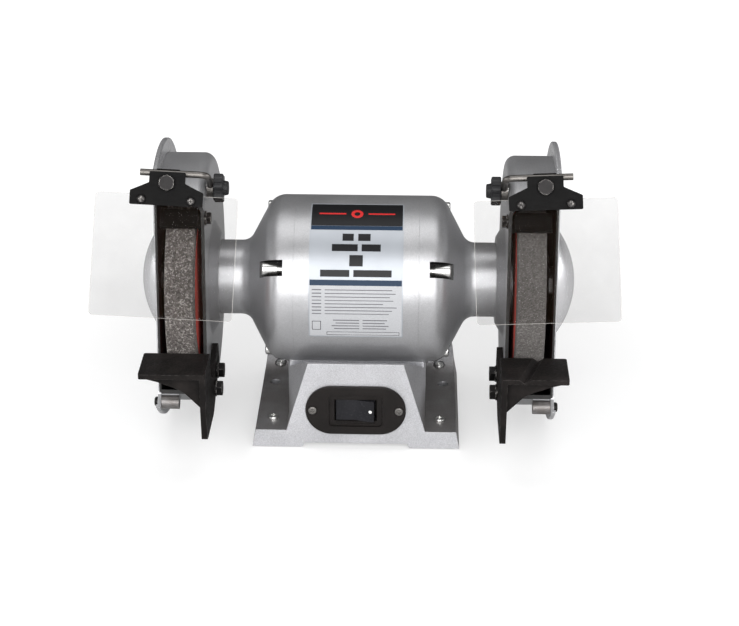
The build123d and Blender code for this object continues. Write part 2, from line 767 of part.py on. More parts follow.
def shield_frame():
    """The shield's own frame: x along the rod, y up the sheet, z out of its front face."""
    return Pos(*ROD_POINT) * Rot(0, -ROD_TILT, 0) * Rot(90 - SHIELD_ELEVATION, 0, 0)


def rod_at(distance):
    """A point on the rod's axis."""
    tilt = radians(ROD_TILT)
    return (ROD_POINT[0] + distance * cos(tilt), ROD_POINT[1], ROD_POINT[2] + distance * sin(tilt))


def shield_arm():
    corner = rod_at((ARM_WIRE_X - ROD_POINT[0]) / cos(radians(ROD_TILT)))
    eye = (ARM_WIRE_X, *PIVOT)
    path = FilletPolyline(rod_at(ROD_REACH), corner, eye, radius=7.0)
    wire = sweep(Plane(origin=path @ 0, z_dir=path % 0) * Circle(ROD_RADIUS), path=path)
    ring = rod_x(ARM_WIRE_X - 2.3, GUARD_FACE_X - RUN_GAP, 8.5, *PIVOT)
    arm = wire + ring
    arm -= rod_x(ARM_WIRE_X - 20, ARM_WIRE_X - 2.3, KNOB_RADIUS + 1.5, *PIVOT)
    return arm - rod_x(ARM_WIRE_X - 20, ARM_WIRE_X + 20, STUD_RADIUS + SNUG, *PIVOT)


def pivot_studs():
    y, z = PIVOT
    stud = rod_x(117.5, GUARD_FACE_X + GUARD_WALL + 0.5, STUD_RADIUS, y, z)
    return group([stud, left(stud)])


def clamp_knob():
    x1 = ARM_WIRE_X - 2.3 - RUN_GAP
    x0 = x1 - 8.6
    y, z = PIVOT
    outline = Circle(KNOB_RADIUS - 2.6)
    for index in range(KNOB_LOBES):
        outline += Rot(0, 0, index * 360 / KNOB_LOBES) * (Pos(KNOB_RADIUS - 3.6, 0) * Circle(3.6))
    outline = fillet(outline.vertices(), 1.5)
    body = extrude(outline, (x1 - x0) / 2, both=True)
    body = chamfer(body.edges().group_by(Axis.Z)[-1] + body.edges().group_by(Axis.Z)[0], 0.8)
    body = Pos((x0 + x1) / 2, y, z) * Rot(0, 90, 0) * body
    tip = (x0 - 4.5, 6.0)
    hub = turned((x0 - 4.5, 0), tip, (x0 + 0.5, 7.0), (x0 + 0.5, 0), rounds=[(tip, 1.2)])
    knob = body + Pos(0, y, z) * hub
    return knob - rod_x(117.0, GUARD_FACE_X, STUD_RADIUS + SNUG, y, z)


def eye_shield():
    low = SHIELD_TOP - SHIELD_HEIGHT
    middle = (SHIELD_TOP + low) / 2
    outline = RectangleRounded(SHIELD_HALF_WIDTH * 2, SHIELD_HEIGHT, SHIELD_CORNER)
    sheet = extrude(Pos(0, middle) * outline, SHIELD_THICKNESS)
    for side in (-1, 1):
        sheet -= Pos(side * CLAMP_SCREW_X, CLAMP_SCREW_DROP, 0) * Cylinder(CLAMP_SCREW_HOLE, 20)
    return shield_frame() * (Pos(0, 0, ROD_RADIUS + RUN_GAP - SHIELD_THICKNESS) * sheet)


def clamp_outline():
    """The front clamp plate: a tongue on the rod over a wide foot that holds the sheet."""
    right_side = [(32.0, -28.7), (32.0, -16.5), (15.7, -9.0), (15.7, 0.8)]
    left_side = [(-x, y) for x, y in reversed(right_side)]
    face = make_face(Polyline(*right_side, *left_side, close=True))
    return fillet(face.vertices(), 1.0)


def shield_clamp():
    """The black clamp: front plate and the smaller hooked jaw behind the rod."""
    front = Pos(0, 0, ROD_RADIUS + RUN_GAP) * extrude(clamp_outline(), CLAMP_PLATE)
    jaw = Pos(0, -5.0, -2.4) * Box(20.0, 17.0, 9.0)
    jaw -= Rot(0, 90, 0) * Cylinder(ROD_RADIUS + SNUG, 80)
    jaw -= Pos(0, 0, 2.0) * Box(80, 2 * ROD_RADIUS, 4.0)
    sheet_room = Pos(0, SHIELD_TOP - 20, ROD_RADIUS + RUN_GAP - 1.5) * Box(80, 40.5, SHIELD_THICKNESS)
    jaw = jaw & Pos(0, 0, ROD_RADIUS + RUN_GAP - 25) * Box(80, 80, 50)
    bolt_hole = Pos(0, CLAMP_BOLT_DROP, 0) * Cylinder(CLAMP_BOLT_RADIUS + SNUG, 40)
    front -= bolt_hole
    jaw = jaw - sheet_room - bolt_hole
    for side in (-1, 1):
        front -= Pos(side * CLAMP_SCREW_X, CLAMP_SCREW_DROP, 0) * Cylinder(CLAMP_SCREW_HOLE, 40)
    return group([shield_frame() * front, shield_frame() * jaw])


def shield_bolts():
    """The hex bolt and nut that close the clamp, and the two screws that hold the sheet."""
    face_z = ROD_RADIUS + RUN_GAP + CLAMP_PLATE
    nut_z = ROD_RADIUS + RUN_GAP - SHIELD_THICKNESS - 2.8
    bolt = Rot(0, 0, 30) * hex_bolt(13.0, 5.0, CLAMP_BOLT_RADIUS, 17.5)
    bolt = Pos(0, CLAMP_BOLT_DROP, face_z) * bolt
    bolt += Pos(0, CLAMP_BOLT_DROP, -6.9 - 4.5) * hex_prism(10.0, 4.5)
    pieces = [bolt]
    for side in (-1, 1):
        place = Pos(side * CLAMP_SCREW_X, CLAMP_SCREW_DROP, face_z)
        screw = place * pan_screw(4.0, 2.6, 2.0, 9.0)
        back = Pos(side * CLAMP_SCREW_X, CLAMP_SCREW_DROP, nut_z)
        pieces.append(screw + back * hex_prism(7.0, 2.8))
    return group([shield_frame() * piece for piece in pieces])


# ---------------------------------------------------------------- base


def wing_profile(inset):
    """Side view of the base's foot: a flat floor that sweeps up into the rear wall."""
    floor = FLANGE_TOP - inset
    centre = FLANGE_TOP + SWEEP_RADIUS
    radius = SWEEP_RADIUS + inset
    turn = radians(57)
    half = turn / 2
    end = (SWEEP_START_Y + radius * sin(turn), centre - radius * cos(turn))
    middle = (SWEEP_START_Y + radius * sin(half), centre - radius * cos(half))
    back = BASE_BACK_Y - inset
    front = BASE_FRONT_Y + inset
    low = FOOT_PROUD if inset == 0 else -1.0
    lines = [
        Line((front, low), (front, floor)),
        Line((front, floor), (SWEEP_START_Y, floor)),
        ThreePointArc((SWEEP_START_Y, floor), middle, end),
        Line(end, (back, end[1] + 5.0)),
        Line((back, end[1] + 5.0), (back, low)),
        Line((back, low), (front, low)),
    ]
    return make_face(Curve() + lines)


def wing_outline(inset):
    """Front view of the base's foot, with drafted sides and rounded shoulders."""
    half = BASE_HALF_WIDTH - inset
    top = REAR_WALL_TOP - inset
    low = FOOT_PROUD if inset == 0 else -1.0
    right_side = [(half, low), (half - 3.2, FLANGE_TOP), (half - 6.0, top)]
    left_side = [(-x, z) for x, z in reversed(right_side)]
    return right_side + left_side


def wings(inset):
    across = extrude(Plane.YZ * wing_profile(inset), BASE_HALF_WIDTH, both=True)
    outline = wing_outline(inset)
    shoulders = [(corner, SHOULDER_CORNER - inset) for corner in outline[2:4]]
    along = prism_y(outline, BASE_FRONT_Y + inset, BASE_BACK_Y - inset, shoulders)
    return across & along


def pedestal():
    """The block under the motor: a slanted front panel that blends back into a straight-sided block."""
    front = Plane(origin=(0, BASE_FRONT_Y, 0), x_dir=(1, 0, 0), z_dir=(0, -1, 0))
    block = Plane(origin=(0, BLOCK_FRONT_Y, 0), x_dir=(1, 0, 0), z_dir=(0, -1, 0))
    panel = Polyline(
        (-PANEL_FOOT_HALF, FLANGE_TOP), (PANEL_FOOT_HALF, FLANGE_TOP), (PANEL_TOP_HALF, PANEL_TOP),
        (-PANEL_TOP_HALF, PANEL_TOP), close=True,
    )
    square = Polyline(
        (-PANEL_FOOT_HALF, FLANGE_TOP), (PANEL_FOOT_HALF, FLANGE_TOP), (PANEL_FOOT_HALF, PANEL_TOP),
        (-PANEL_FOOT_HALF, PANEL_TOP), close=True,
    )
    nose = loft([front * make_face(panel), block * make_face(square)])
    body = box(-PANEL_FOOT_HALF, PANEL_FOOT_HALF, BLOCK_FRONT_Y, 70.0, FLANGE_TOP - 4, PANEL_TOP)
    lip = prism_x([(-72.0, 95.0), (-72.0, PANEL_TOP), (-40.0, 66.0), (-40.0, 95.0)], -100, 100)
    cradle = Pos(0, 0, SPINDLE_HEIGHT) * rod_x(-100, 100, SHELL_RADIUS + SNUG)
    return nose + body - lip - cradle


def corner_bosses():
    """Bosses under the floor for the bench bolts, the feet and the bottom plate."""
    bosses = Part()
    for side in (-1, 1):
        bosses += rod_z(FOOT_PROUD, FLANGE_TOP - 1, 11.0, side * BENCH_HOLE_X, BENCH_HOLE_Y)
    for x, y in FOOT_PLACES:
        bosses += rod_z(FOOT_HEIGHT, REAR_BOSS_TOP if y > 0 else FLANGE_TOP - 1, 11.0, x, y)
    for x, y in PLATE_SCREWS:
        bosses += rod_z(BOTTOM_PLATE_Z + BOTTOM_PLATE_THICKNESS, REAR_BOSS_TOP, 5.0, x, y)
    return bosses & (wings(0.0) + box(-60, 60, -70, 70, 10, 30))


def base_casting():
    cavity = wings(BASE_WALL)
    cavity += box(-57, 57, BASE_FRONT_Y + BASE_WALL, BASE_BACK_Y - BASE_WALL, -1, 20)
    cavity += box(-46, 46, BASE_FRONT_Y + BASE_WALL, 65.0, -1, CAVITY_TOP)
    base = wings(0.0)
    base = base + pedestal() - cavity + corner_bosses()
    arch_top = FOOT_PROUD + ARCH_RISE
    arch = [(-ARCH_HALF - 3, -1), (-ARCH_HALF, arch_top), (ARCH_HALF, arch_top), (ARCH_HALF + 3, -1)]
    base -= prism_y(arch, BASE_FRONT_Y - 1, BASE_BACK_Y + 1)
    for side in (-1, 1):
        base -= rod_z(-1, 60, BENCH_HOLE_RADIUS, side * BENCH_HOLE_X, BENCH_HOLE_Y)
        base -= rod_y(BASE_FRONT_Y - 1, BASE_FRONT_Y + 20, 2.0 + SNUG, side * SWITCH_SCREW_X, SWITCH_Z)
    for x, y in FOOT_PLACES:
        base -= rod_z(-1, 60, 2.5 + SNUG, x, y)
        base -= rod_z(foot_screw_seat(y), 60, 5.5, x, y)
    for x, y in PLATE_SCREWS:
        base -= rod_z(-1, 16.0, 1.75 + SNUG, x, y)
    for x, y in MOUNT_BOLTS:
        base -= rod_z(CAVITY_TOP - 2, 100, MOUNT_BOLT_RADIUS + SNUG, x, y)
    half, rise = SWITCH_HALF_LENGTH + 0.1, SWITCH_HALF_HEIGHT + 0.1
    base -= box(-half, half, BASE_FRONT_Y - 1, BASE_FRONT_Y + 12, SWITCH_Z - rise, SWITCH_Z + rise)
    base -= rod_y(BASE_BACK_Y - 12, BASE_BACK_Y + 1, GLAND_RADIUS + SNUG, GLAND_X, GLAND_Z)
    return base


def foot_screw_seat(y):
    return FLANGE_TOP if y < 0 else REAR_BOSS_TOP


def rubber_feet():
    pads = []
    for x, y in FOOT_PLACES:
        pad = rod_z(0, FOOT_HEIGHT, FOOT_RADIUS, x, y)
        pad = fillet(pad.edges().group_by(Axis.Z)[0], 0.8)
        pads.append(pad - rod_z(-1, 4, 1.9, x, y))
    return group(pads)


def foot_screws():
    screws = []
    for x, y in FOOT_PLACES:
        seat = foot_screw_seat(y)
        screw = Pos(x, y, seat) * pan_screw(4.6, 3.0, 2.5, seat - 4.0)
        screws.append(screw + rod_z(1.2, 5.0, 1.9, x, y))
    return group(screws)


def base_bottom_plate():
    plate = box(-56.0, 56.0, -69.0, 74.0, BOTTOM_PLATE_Z, BOTTOM_PLATE_Z + BOTTOM_PLATE_THICKNESS)
    plate = fillet(plate.edges().filter_by(Axis.Z), 6.0)
    for index in range(7):
        plate -= Pos(-30 + index * 10, 0, BOTTOM_PLATE_Z) * Box(3.0, 40.0, 6.0)
    for x, y in PLATE_SCREWS:
        plate -= rod_z(0, 20, 2.1, x, y)
    return plate


def bottom_plate_screws():
    screws = []
    for x, y in PLATE_SCREWS:
        screws.append(Pos(x, y, BOTTOM_PLATE_Z) * Rot(180, 0, 0) * pan_screw(3.6, 2.4, 1.75, 9.0))
    return group(screws)


def motor_mount_bolts():
    length = SPINDLE_HEIGHT - SHELL_RADIUS + 4.5 - CAVITY_TOP
    bolts = []
    for x, y in MOUNT_BOLTS:
        bolt = hex_bolt(10.0, 4.5, MOUNT_BOLT_RADIUS, length)
        bolts.append(Pos(x, y, CAVITY_TOP) * Rot(180, 0, 0) * bolt)
    return group(bolts)


def capacitor():
    half = CAPACITOR_LENGTH / 2
    can = rod_x(-half, half, CAPACITOR_RADIUS, CAPACITOR_Y, CAPACITOR_Z)
    can = fillet(can.edges(), 2.0)
    for side in (-1, 1):
        middle = CAPACITOR_Y + side * 6
        can += box(half - 2, half + 6, middle - 3, middle + 3, CAPACITOR_Z - 0.4, CAPACITOR_Z + 0.4)
    return can


def capacitor_clamp():
    place = (CAPACITOR_Y, CAPACITOR_Z)
    strap = rod_x(-7, 7, CAPACITOR_RADIUS + 1.4, *place) - rod_x(-8, 8, CAPACITOR_RADIUS + SNUG, *place)
    low = CAPACITOR_Z + CAPACITOR_RADIUS + 1
    strap += box(-7, 7, CAPACITOR_Y - 1.5, CAPACITOR_Y + 1.5, low, CAVITY_TOP)
    return strap


def cord_gland():
    outer = rod_y(BASE_BACK_Y - 9, BASE_BACK_Y + 4, GLAND_RADIUS, GLAND_X, GLAND_Z)
    outer += rod_y(BASE_BACK_Y, BASE_BACK_Y + 4, GLAND_RADIUS + 3, GLAND_X, GLAND_Z)
    outer = fillet(outer.edges().group_by(Axis.Y)[-1], 1.2)
    return outer - rod_y(BASE_BACK_Y - 20, BASE_BACK_Y + 10, CORD_RADIUS, GLAND_X, GLAND_Z)


# ---------------------------------------------------------------- switch


def front_plate(length, height, corner, thickness):
    """A rounded plate lying on the front panel around the switch."""
    face = RectangleRounded(length, height, corner)
    plane = Plane(origin=(0, BASE_FRONT_Y, SWITCH_Z), x_dir=(1, 0, 0), z_dir=(0, -1, 0))
    return extrude(plane * face, thickness)


def switch_plate():
    plate = front_plate(PLATE_LENGTH, PLATE_HEIGHT, PLATE_HEIGHT / 2 - 0.1, PLATE_THICKNESS)
    plate = chamfer(plate.edges().group_by(Axis.Y)[0], 0.8)
    plate -= front_plate(WINDOW_LENGTH, WINDOW_HEIGHT, 4.0, 10.0)
    for side in (-1, 1):
        plate -= rod_y(BASE_FRONT_Y - 10, BASE_FRONT_Y + 1, 2.2, side * SWITCH_SCREW_X, SWITCH_Z)
        plate -= rod_y(BASE_FRONT_Y - 10, BASE_FRONT_Y - 1.8, 4.4, side * SWITCH_SCREW_X, SWITCH_Z)
    return plate


def switch_plate_screws():
    screws = []
    for side in (-1, 1):
        screw = pan_screw(4.0, 2.2, 2.0, 12.0)
        screws.append(aim(screw, side * SWITCH_SCREW_X, BASE_FRONT_Y - 1.8, SWITCH_Z, (0, -1, 0)))
    return group(screws)


def switch_body():
    flange = front_plate(WINDOW_LENGTH - 0.2, WINDOW_HEIGHT - 0.2, 3.9, 1.5)
    for drop in (11.6, 13.2):
        line_z = SWITCH_Z - drop
        flange -= box(-18, 18, BASE_FRONT_Y - 2, BASE_FRONT_Y - 0.9, line_z - 0.4, line_z + 0.4)
    half, rise = SWITCH_HALF_LENGTH, SWITCH_HALF_HEIGHT
    body = box(-half, half, BASE_FRONT_Y, BASE_FRONT_Y + SWITCH_DEPTH, SWITCH_Z - rise, SWITCH_Z + rise)
    blades = Part()
    back_y = BASE_FRONT_Y + SWITCH_DEPTH
    for x in (-12.0, -4.0, 4.0, 12.0):
        blades += box(x - 0.4, x + 0.4, back_y - 1, back_y + 8, SWITCH_Z - 3, SWITCH_Z + 3)
    well = box(-19.3, 19.3, BASE_FRONT_Y - 5, ROCKER_PIVOT_Y + 6.6, SWITCH_Z - 10.8, SWITCH_Z + 10.8)
    pins = Pos(0, ROCKER_PIVOT_Y, SWITCH_Z) * Cylinder(1.25, 25.0)
    return flange + body + blades - well - pins


def switch_rocker():
    half = ROCKER_HALF_LENGTH
    outline = [(-half, -5.5), (0, -3.2), (half, -5.5), (half, 1.0), (6.0, 5.0), (-6.0, 5.0), (-half, 1.0)]
    face = make_face(Polyline(*outline, close=True))
    face = fillet(face.vertices().sort_by_distance((0, -3.2, 0))[0], 12.0)
    rocker = extrude(face, ROCKER_HALF_HEIGHT, both=True)
    edges = rocker.edges().filter_by(Axis.Z).filter_by(lambda e: e.center().Y < -4)
    rocker = fillet(edges, 0.8)
    rocker += Cylinder(1.2, 23.6)
    return Pos(0, ROCKER_PIVOT_Y, SWITCH_Z) * Rot(0, 0, ROCKER_REST_ANGLE) * rocker


# ---------------------------------------------------------------- the whole machine


def pairs():
    """Right-hand pieces drawn about the spindle, each with a left-hand twin."""
    return {
        "end_bell": end_bell(),
        "inner_guard": inner_guard(),
        "outer_cover": outer_cover(),
        "inner_flange": inner_flange(),
        "wheel": wheel(),
        "outer_flange": outer_flange(),
        "spindle_nut": spindle_nut(),
        "spark_arrester": spark_arrester(),
        "arrester_bolt": arrester_bolt(),
        "shield_arm": shield_arm(),
        "clamp_knob": clamp_knob(),
        "eye_shield": eye_shield(),
        "shield_clamp": shield_clamp(),
        "shield_bolts": shield_bolts(),
    }


def spindle_pieces():
    """Single pieces and shared groups drawn about the spindle."""
    return {
        "motor_shell": motor_shell(),
        "through_bolts": through_bolts(),
        "nameplate": nameplate(),
        "stator_core": stator_core(),
        "stator_windings": stator_windings(),
        "rotor_core": rotor_core(),
        "shaft": shaft(),
        "bearing_outer_rings": bearing_outer_rings(),
        "bearing_inner_races": bearing_inner_races(),
        "preload_washer": preload_washer(),
        "blotters": blotters(),
        "guard_screws": guard_screws(),
        "cover_screws": cover_screws(),
        "rest_bolts": rest_bolts(),
        "pivot_studs": pivot_studs(),
        "left_tool_rest": left(tool_rest()),
        "right_tool_rest": tool_rest() - drill_groove(),
    }


def bench_pieces():
    """Pieces drawn with heights above the bench."""
    return {
        "base_casting": base_casting(),
        "base_bottom_plate": base_bottom_plate(),
        "bottom_plate_screws": bottom_plate_screws(),
        "rubber_feet": rubber_feet(),
        "foot_screws": foot_screws(),
        "motor_mount_bolts": motor_mount_bolts(),
        "capacitor": capacitor(),
        "capacitor_clamp": capacitor_clamp(),
        "cord_gland": cord_gland(),
        "switch_plate": switch_plate(),
        "switch_plate_screws": switch_plate_screws(),
        "switch_body": switch_body(),
        "switch_rocker": switch_rocker(),
    }


def main():
    os.makedirs("parts", exist_ok=True)
    nodes = {}
    for name, part in pairs().items():
        nodes["right_" + name] = on_spindle(part)
        nodes["left_" + name] = on_spindle(left(part))
    for name, part in spindle_pieces().items():
        nodes[name] = on_spindle(part)
    for name, part in bench_pieces().items():
        nodes[name] = on_bench(part)
    for name, part in nodes.items():
        export_step(part, f"parts/{name}.step")


main()
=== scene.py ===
"""Bench grinder: materials, mesh details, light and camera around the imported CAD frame."""
import math

import bmesh
import bpy
from mathutils import Matrix, Vector, noise


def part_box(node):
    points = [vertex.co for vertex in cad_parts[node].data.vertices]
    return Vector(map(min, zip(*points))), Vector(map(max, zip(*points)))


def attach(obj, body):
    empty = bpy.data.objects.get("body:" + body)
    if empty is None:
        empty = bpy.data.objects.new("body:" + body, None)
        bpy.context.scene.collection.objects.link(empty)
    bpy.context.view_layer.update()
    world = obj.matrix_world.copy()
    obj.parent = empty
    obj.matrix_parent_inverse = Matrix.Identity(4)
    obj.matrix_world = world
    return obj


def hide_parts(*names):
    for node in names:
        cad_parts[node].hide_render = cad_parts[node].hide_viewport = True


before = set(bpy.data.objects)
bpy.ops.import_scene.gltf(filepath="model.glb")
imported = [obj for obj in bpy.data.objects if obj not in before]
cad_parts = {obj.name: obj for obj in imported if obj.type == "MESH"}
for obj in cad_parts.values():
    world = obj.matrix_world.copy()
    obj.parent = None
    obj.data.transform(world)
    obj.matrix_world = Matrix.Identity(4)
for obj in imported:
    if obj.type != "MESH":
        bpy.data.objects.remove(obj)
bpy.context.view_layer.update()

MM = 0.001
SHAFT_LOW, SHAFT_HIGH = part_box("shaft")
AXIS_Y = (SHAFT_LOW.y + SHAFT_HIGH.y) / 2
AXIS_Z = (SHAFT_LOW.z + SHAFT_HIGH.z) / 2
SIDES = ("left", "right")
BOLT_ANGLES = (30.0, 120.0, 210.0, 300.0)


# ---------------------------------------------------------------- node materials


class Signal:
    """A number on its way through a material's nodes, with arithmetic."""

    def __init__(self, look, socket):
        self.look = look
        self.socket = socket

    def math(self, operation, *others):
        node = self.look.nodes.new("ShaderNodeMath")
        node.operation = operation
        for slot, value in zip(node.inputs, (self, *others)):
            self.look.feed(slot, value)
        return Signal(self.look, node.outputs[0])

    def __add__(self, other):
        return self.math("ADD", other)

    def __sub__(self, other):
        return self.math("SUBTRACT", other)

    def __mul__(self, other):
        return self.math("MULTIPLY", other)

    def __lt__(self, other):
        return self.math("LESS_THAN", other)

    def __gt__(self, other):
        return self.math("GREATER_THAN", other)

    def __or__(self, other):
        return self.math("MAXIMUM", other)

    def __and__(self, other):
        return self.math("MINIMUM", other)

    def size(self):
        return self.math("ABSOLUTE")

    def spread(self, low, high, to_low=0.0, to_high=1.0):
        """This number moved from one range to another, and kept inside it."""
        node = self.look.nodes.new("ShaderNodeMapRange")
        values = (self, low, high, to_low, to_high)
        for slot, value in zip(node.inputs, values):
            self.look.feed(slot, value)
        return Signal(self.look, node.outputs[0])


class Look:
    """A procedural material whose textures are placed by the piece's own coordinates, in metres."""

    def __init__(self, name, **shader):
        self.material = bpy.data.materials.new(name)
        self.material.use_nodes = True
        self.nodes = self.material.node_tree.nodes
        self.links = self.material.node_tree.links
        self.shader = self.nodes["Principled BSDF"]
        self.coordinates = self.nodes.new("ShaderNodeTexCoord")
        self.place = self.coordinates.outputs["Object"]
        self.normal = None
        for key, value in shader.items():
            self.shader.inputs[key.replace("_", " ")].default_value = value

    def feed(self, slot, value):
        if isinstance(value, Signal):
            value = value.socket
        if isinstance(value, bpy.types.NodeSocket):
            self.links.new(value, slot)
        else:
            slot.default_value = value

    def set(self, name, value):
        self.feed(self.shader.inputs[name], value)

    def xyz(self, source=None):
        node = self.nodes.new("ShaderNodeSeparateXYZ")
        self.links.new(source or self.place, node.inputs[0])
        return [Signal(self, output) for output in node.outputs]

    def placed(self, stretch):
        node = self.nodes.new("ShaderNodeMapping")
        self.links.new(self.place, node.inputs["Vector"])
        node.inputs["Scale"].default_value = stretch
        return node.outputs[0]

    def noise(self, size, detail=3.0, roughness=0.55, stretch=(1, 1, 1)):
        """Soft noise whose blotches are about size millimetres across."""
        node = self.nodes.new("ShaderNodeTexNoise")
        self.links.new(self.placed(stretch), node.inputs["Vector"])
        node.inputs["Scale"].default_value = 1000 / size
        node.inputs["Detail"].default_value = detail
        node.inputs["Roughness"].default_value = roughness
        return Signal(self, node.outputs["Fac"])

    def cells(self, size, randomness=1.0):
        """A random number for each cell of about size millimetres, and the distance to its centre."""
        node = self.nodes.new("ShaderNodeTexVoronoi")
        self.links.new(self.place, node.inputs["Vector"])
        node.inputs["Scale"].default_value = 1000 / size
        node.inputs["Randomness"].default_value = randomness
        split = self.nodes.new("ShaderNodeSeparateColor")
        self.links.new(node.outputs["Color"], split.inputs[0])
        return Signal(self, split.outputs[0]), Signal(self, node.outputs["Distance"])

    def blend(self, share, first, second):
        node = self.nodes.new("ShaderNodeMix")
        node.data_type = "RGBA"
        for slot, value in zip((node.inputs[0], node.inputs[6], node.inputs[7]), (share, first, second)):
            self.feed(slot, rgba(value) if isinstance(value, tuple) else value)
        return node.outputs[2]

    def ramp(self, share, stops):
        node = self.nodes.new("ShaderNodeValToRGB")
        self.feed(node.inputs[0], share)
        elements = node.color_ramp.elements
        while len(elements) < len(stops):
            elements.new(0.5)
        for element, (position, colour) in zip(elements, stops):
            element.position = position
            element.color = rgba(colour)
        return node.outputs[0]

    def bump(self, height, depth, strength=1.0):
        """Adds relief of about depth millimetres to the surface's normal."""
        node = self.nodes.new("ShaderNodeBump")
        self.feed(node.inputs["Height"], height)
        node.inputs["Distance"].default_value = depth * MM
        node.inputs["Strength"].default_value = strength
        if self.normal:
            self.links.new(self.normal, node.inputs["Normal"])
        self.normal = node.outputs[0]
        self.links.new(self.normal, self.shader.inputs["Normal"])

    def soft_edges(self, radius):
        """Rounds sharp edges in the shading by radius millimetres."""
        node = self.nodes.new("ShaderNodeBevel")
        node.samples = 4
        node.inputs["Radius"].default_value = radius * MM
        self.normal = node.outputs[0]
        self.links.new(self.normal, self.shader.inputs["Normal"])
        return self.normal

    def worn_edges(self, radius, keep=0.75):
        """A mask that is 1 along outer edges, broken up by noise."""
        node = self.nodes.new("ShaderNodeBevel")
        node.samples = 4
        node.inputs["Radius"].default_value = radius * MM
        geometry = self.nodes.new("ShaderNodeNewGeometry")
        dot = self.nodes.new("ShaderNodeVectorMath")
        dot.operation = "DOT_PRODUCT"
        self.links.new(node.outputs[0], dot.inputs[0])
        self.links.new(geometry.outputs["Normal"], dot.inputs[1])
        edge = Signal(self, dot.outputs["Value"]).spread(0.99, 0.8)
        breakup = self.noise(3.0, 4.0).spread(0.42, keep)
        return edge * breakup


def rgba(colour):
    return (*colour, 1.0) if len(colour) == 3 else colour


def shade(colour, factor):
    return tuple(channel * factor for channel in colour)


def hypot(a, b):
    """How far it is to a point that is a away along one axis and b along another."""
    return (a * a + b * b).math("SQRT")


def silver_paint(name, colour, roughness, flake=0.12, peel=0.03, dark=None, darkening=None, bright=None):
    """Silver paint with fine flakes. Three optional masks: the first paints shade near black, the second
    darkens the paint (painted shade on the base's side floors, darker patches on the lugs), the third
    lightens it as a painted highlight and makes it a little smoother.
    """
    look = Look(name, Metallic=0.72, Coat_Weight=0.12, Coat_Roughness=0.3)
    look.soft_edges(0.5)
    flakes, _ = look.cells(0.42)
    cloud = look.noise(38.0, 2.0)
    grain = look.noise(1.1, 2.0)
    tone = flakes.spread(0.0, 1.0, -flake, flake) + cloud.spread(0.3, 0.7, 0.93, 1.05)
    tinted = look.blend(tone.spread(0.7, 1.3), shade(colour, 0.7), shade(colour, 1.3))
    rough = cloud.spread(0.25, 0.75, roughness - 0.04, roughness + 0.05)
    # Painted highlight: where this mask is 1 the paint is 1.55 times lighter, and a little smoother.
    if bright:
        highlight_share = bright(look)
        tinted = look.blend(highlight_share, tinted, shade(colour, 1.55))
        rough = rough - highlight_share * 0.06
    # Painted shade on the base's side floors, and darker patches on the cover's lugs: the paint is
    # blended towards dark brownish grey.
    if darkening:
        tinted = look.blend(darkening(look), tinted, (0.13, 0.115, 0.105))
    # Painted shade: where the first mask is 1 the paint turns a mottled near black, matt and not
    # metallic.
    if dark:
        mask = dark(look)
        shade_mottle = look.noise(6.0, 4.0)
        tinted = look.blend(mask, tinted, look.blend(shade_mottle, (0.006, 0.006, 0.006), (0.022, 0.021, 0.02)))
        look.set("Metallic", mask.spread(0.0, 1.0, 0.72, 0.0))
        rough = rough | mask * 0.62
    look.set("Base Color", tinted)
    look.set("Roughness", rough)
    look.bump(grain, peel)
    look.bump(flakes, 0.012)
    return look.material


def black_casting(name, colour=(0.007, 0.006, 0.0057)):
    """Black paint on a sand casting: lumpy, half matt, with bare metal showing along the edges."""
    look = Look(name, Specular_IOR_Level=0.1)
    look.soft_edges(0.6)
    lumps = look.noise(2.2, 5.0, 0.6)
    _, distance = look.cells(1.3)
    worn = look.worn_edges(0.9)
    mottling = look.noise(24.0, 4.0)
    paint = look.blend(mottling.spread(0.45, 0.75), colour, (0.018, 0.015, 0.014))
    look.set("Base Color", look.blend(worn * 0.55, paint, (0.2, 0.19, 0.18)))
    look.set("Metallic", worn * 0.5)
    look.set("Roughness", lumps.spread(0.3, 0.7, 0.42, 0.62) - worn * 0.12)
    look.bump(lumps, 0.12)
    look.bump(distance, 0.05)
    return look.material


def black_enamel(name):
    """Glossy black enamel on pressed sheet, a little scuffed."""
    look = Look(name, Specular_IOR_Level=0.08)
    look.soft_edges(0.4)
    ripple = look.noise(3.0, 2.0)
    scuffs = look.noise(9.0, 6.0, 0.7, (1, 1, 5))
    worn = look.worn_edges(0.6)
    look.set("Base Color", look.blend(worn * 0.5, (0.004, 0.0038, 0.0038), (0.1, 0.095, 0.09)))
    look.set("Roughness", scuffs.spread(0.35, 0.75, 0.5, 0.7))
    look.bump(ripple, 0.03)
    return look.material


def plated(name, colour, roughness, brushed=(1, 1, 1), grain=0.7, depth=0.015, tint=0.12, wear_and_highlight=None):
    """Plated or bare steel with a drawn or brushed grain and stains; the edge colour, if given, paints
    its edges as rubbed bare steel that also serves as a painted highlight.
    """
    look = Look(name, Metallic=1.0)
    look.soft_edges(0.3)
    lines = look.noise(grain, 3.0, 0.6, brushed)
    stain = look.noise(14.0, 4.0)
    tone = stain.spread(0.35, 0.7)
    finish = look.blend(tone, colour, shade(colour, 1 - 2 * tint))
    if wear_and_highlight:
        finish = look.blend(look.worn_edges(1.1, 0.6), finish, wear_and_highlight)
    look.set("Base Color", finish)
    look.set("Roughness", lines.spread(0.3, 0.7, roughness - 0.07, roughness + 0.1))
    look.bump(lines, depth)
    return look.material


def turned_steel(name, colour, roughness):
    """Steel with the fine rings that a lathe leaves, about the spindle."""
    look = Look(name, Metallic=1.0)
    look.soft_edges(0.25)
    x, y, z = look.xyz()
    y, z = y - AXIS_Y, z - AXIS_Z
    rings = ((hypot(y, z) + x) * (2 * math.pi / (0.35 * MM))).math("SINE")
    stain = look.noise(8.0, 4.0)
    look.set("Base Color", look.blend(stain.spread(0.4, 0.75), colour, shade(colour, 0.72)))
    look.set("Roughness", stain.spread(0.3, 0.7, roughness - 0.05, roughness + 0.08))
    look.bump(rings, 0.012)
    return look.material


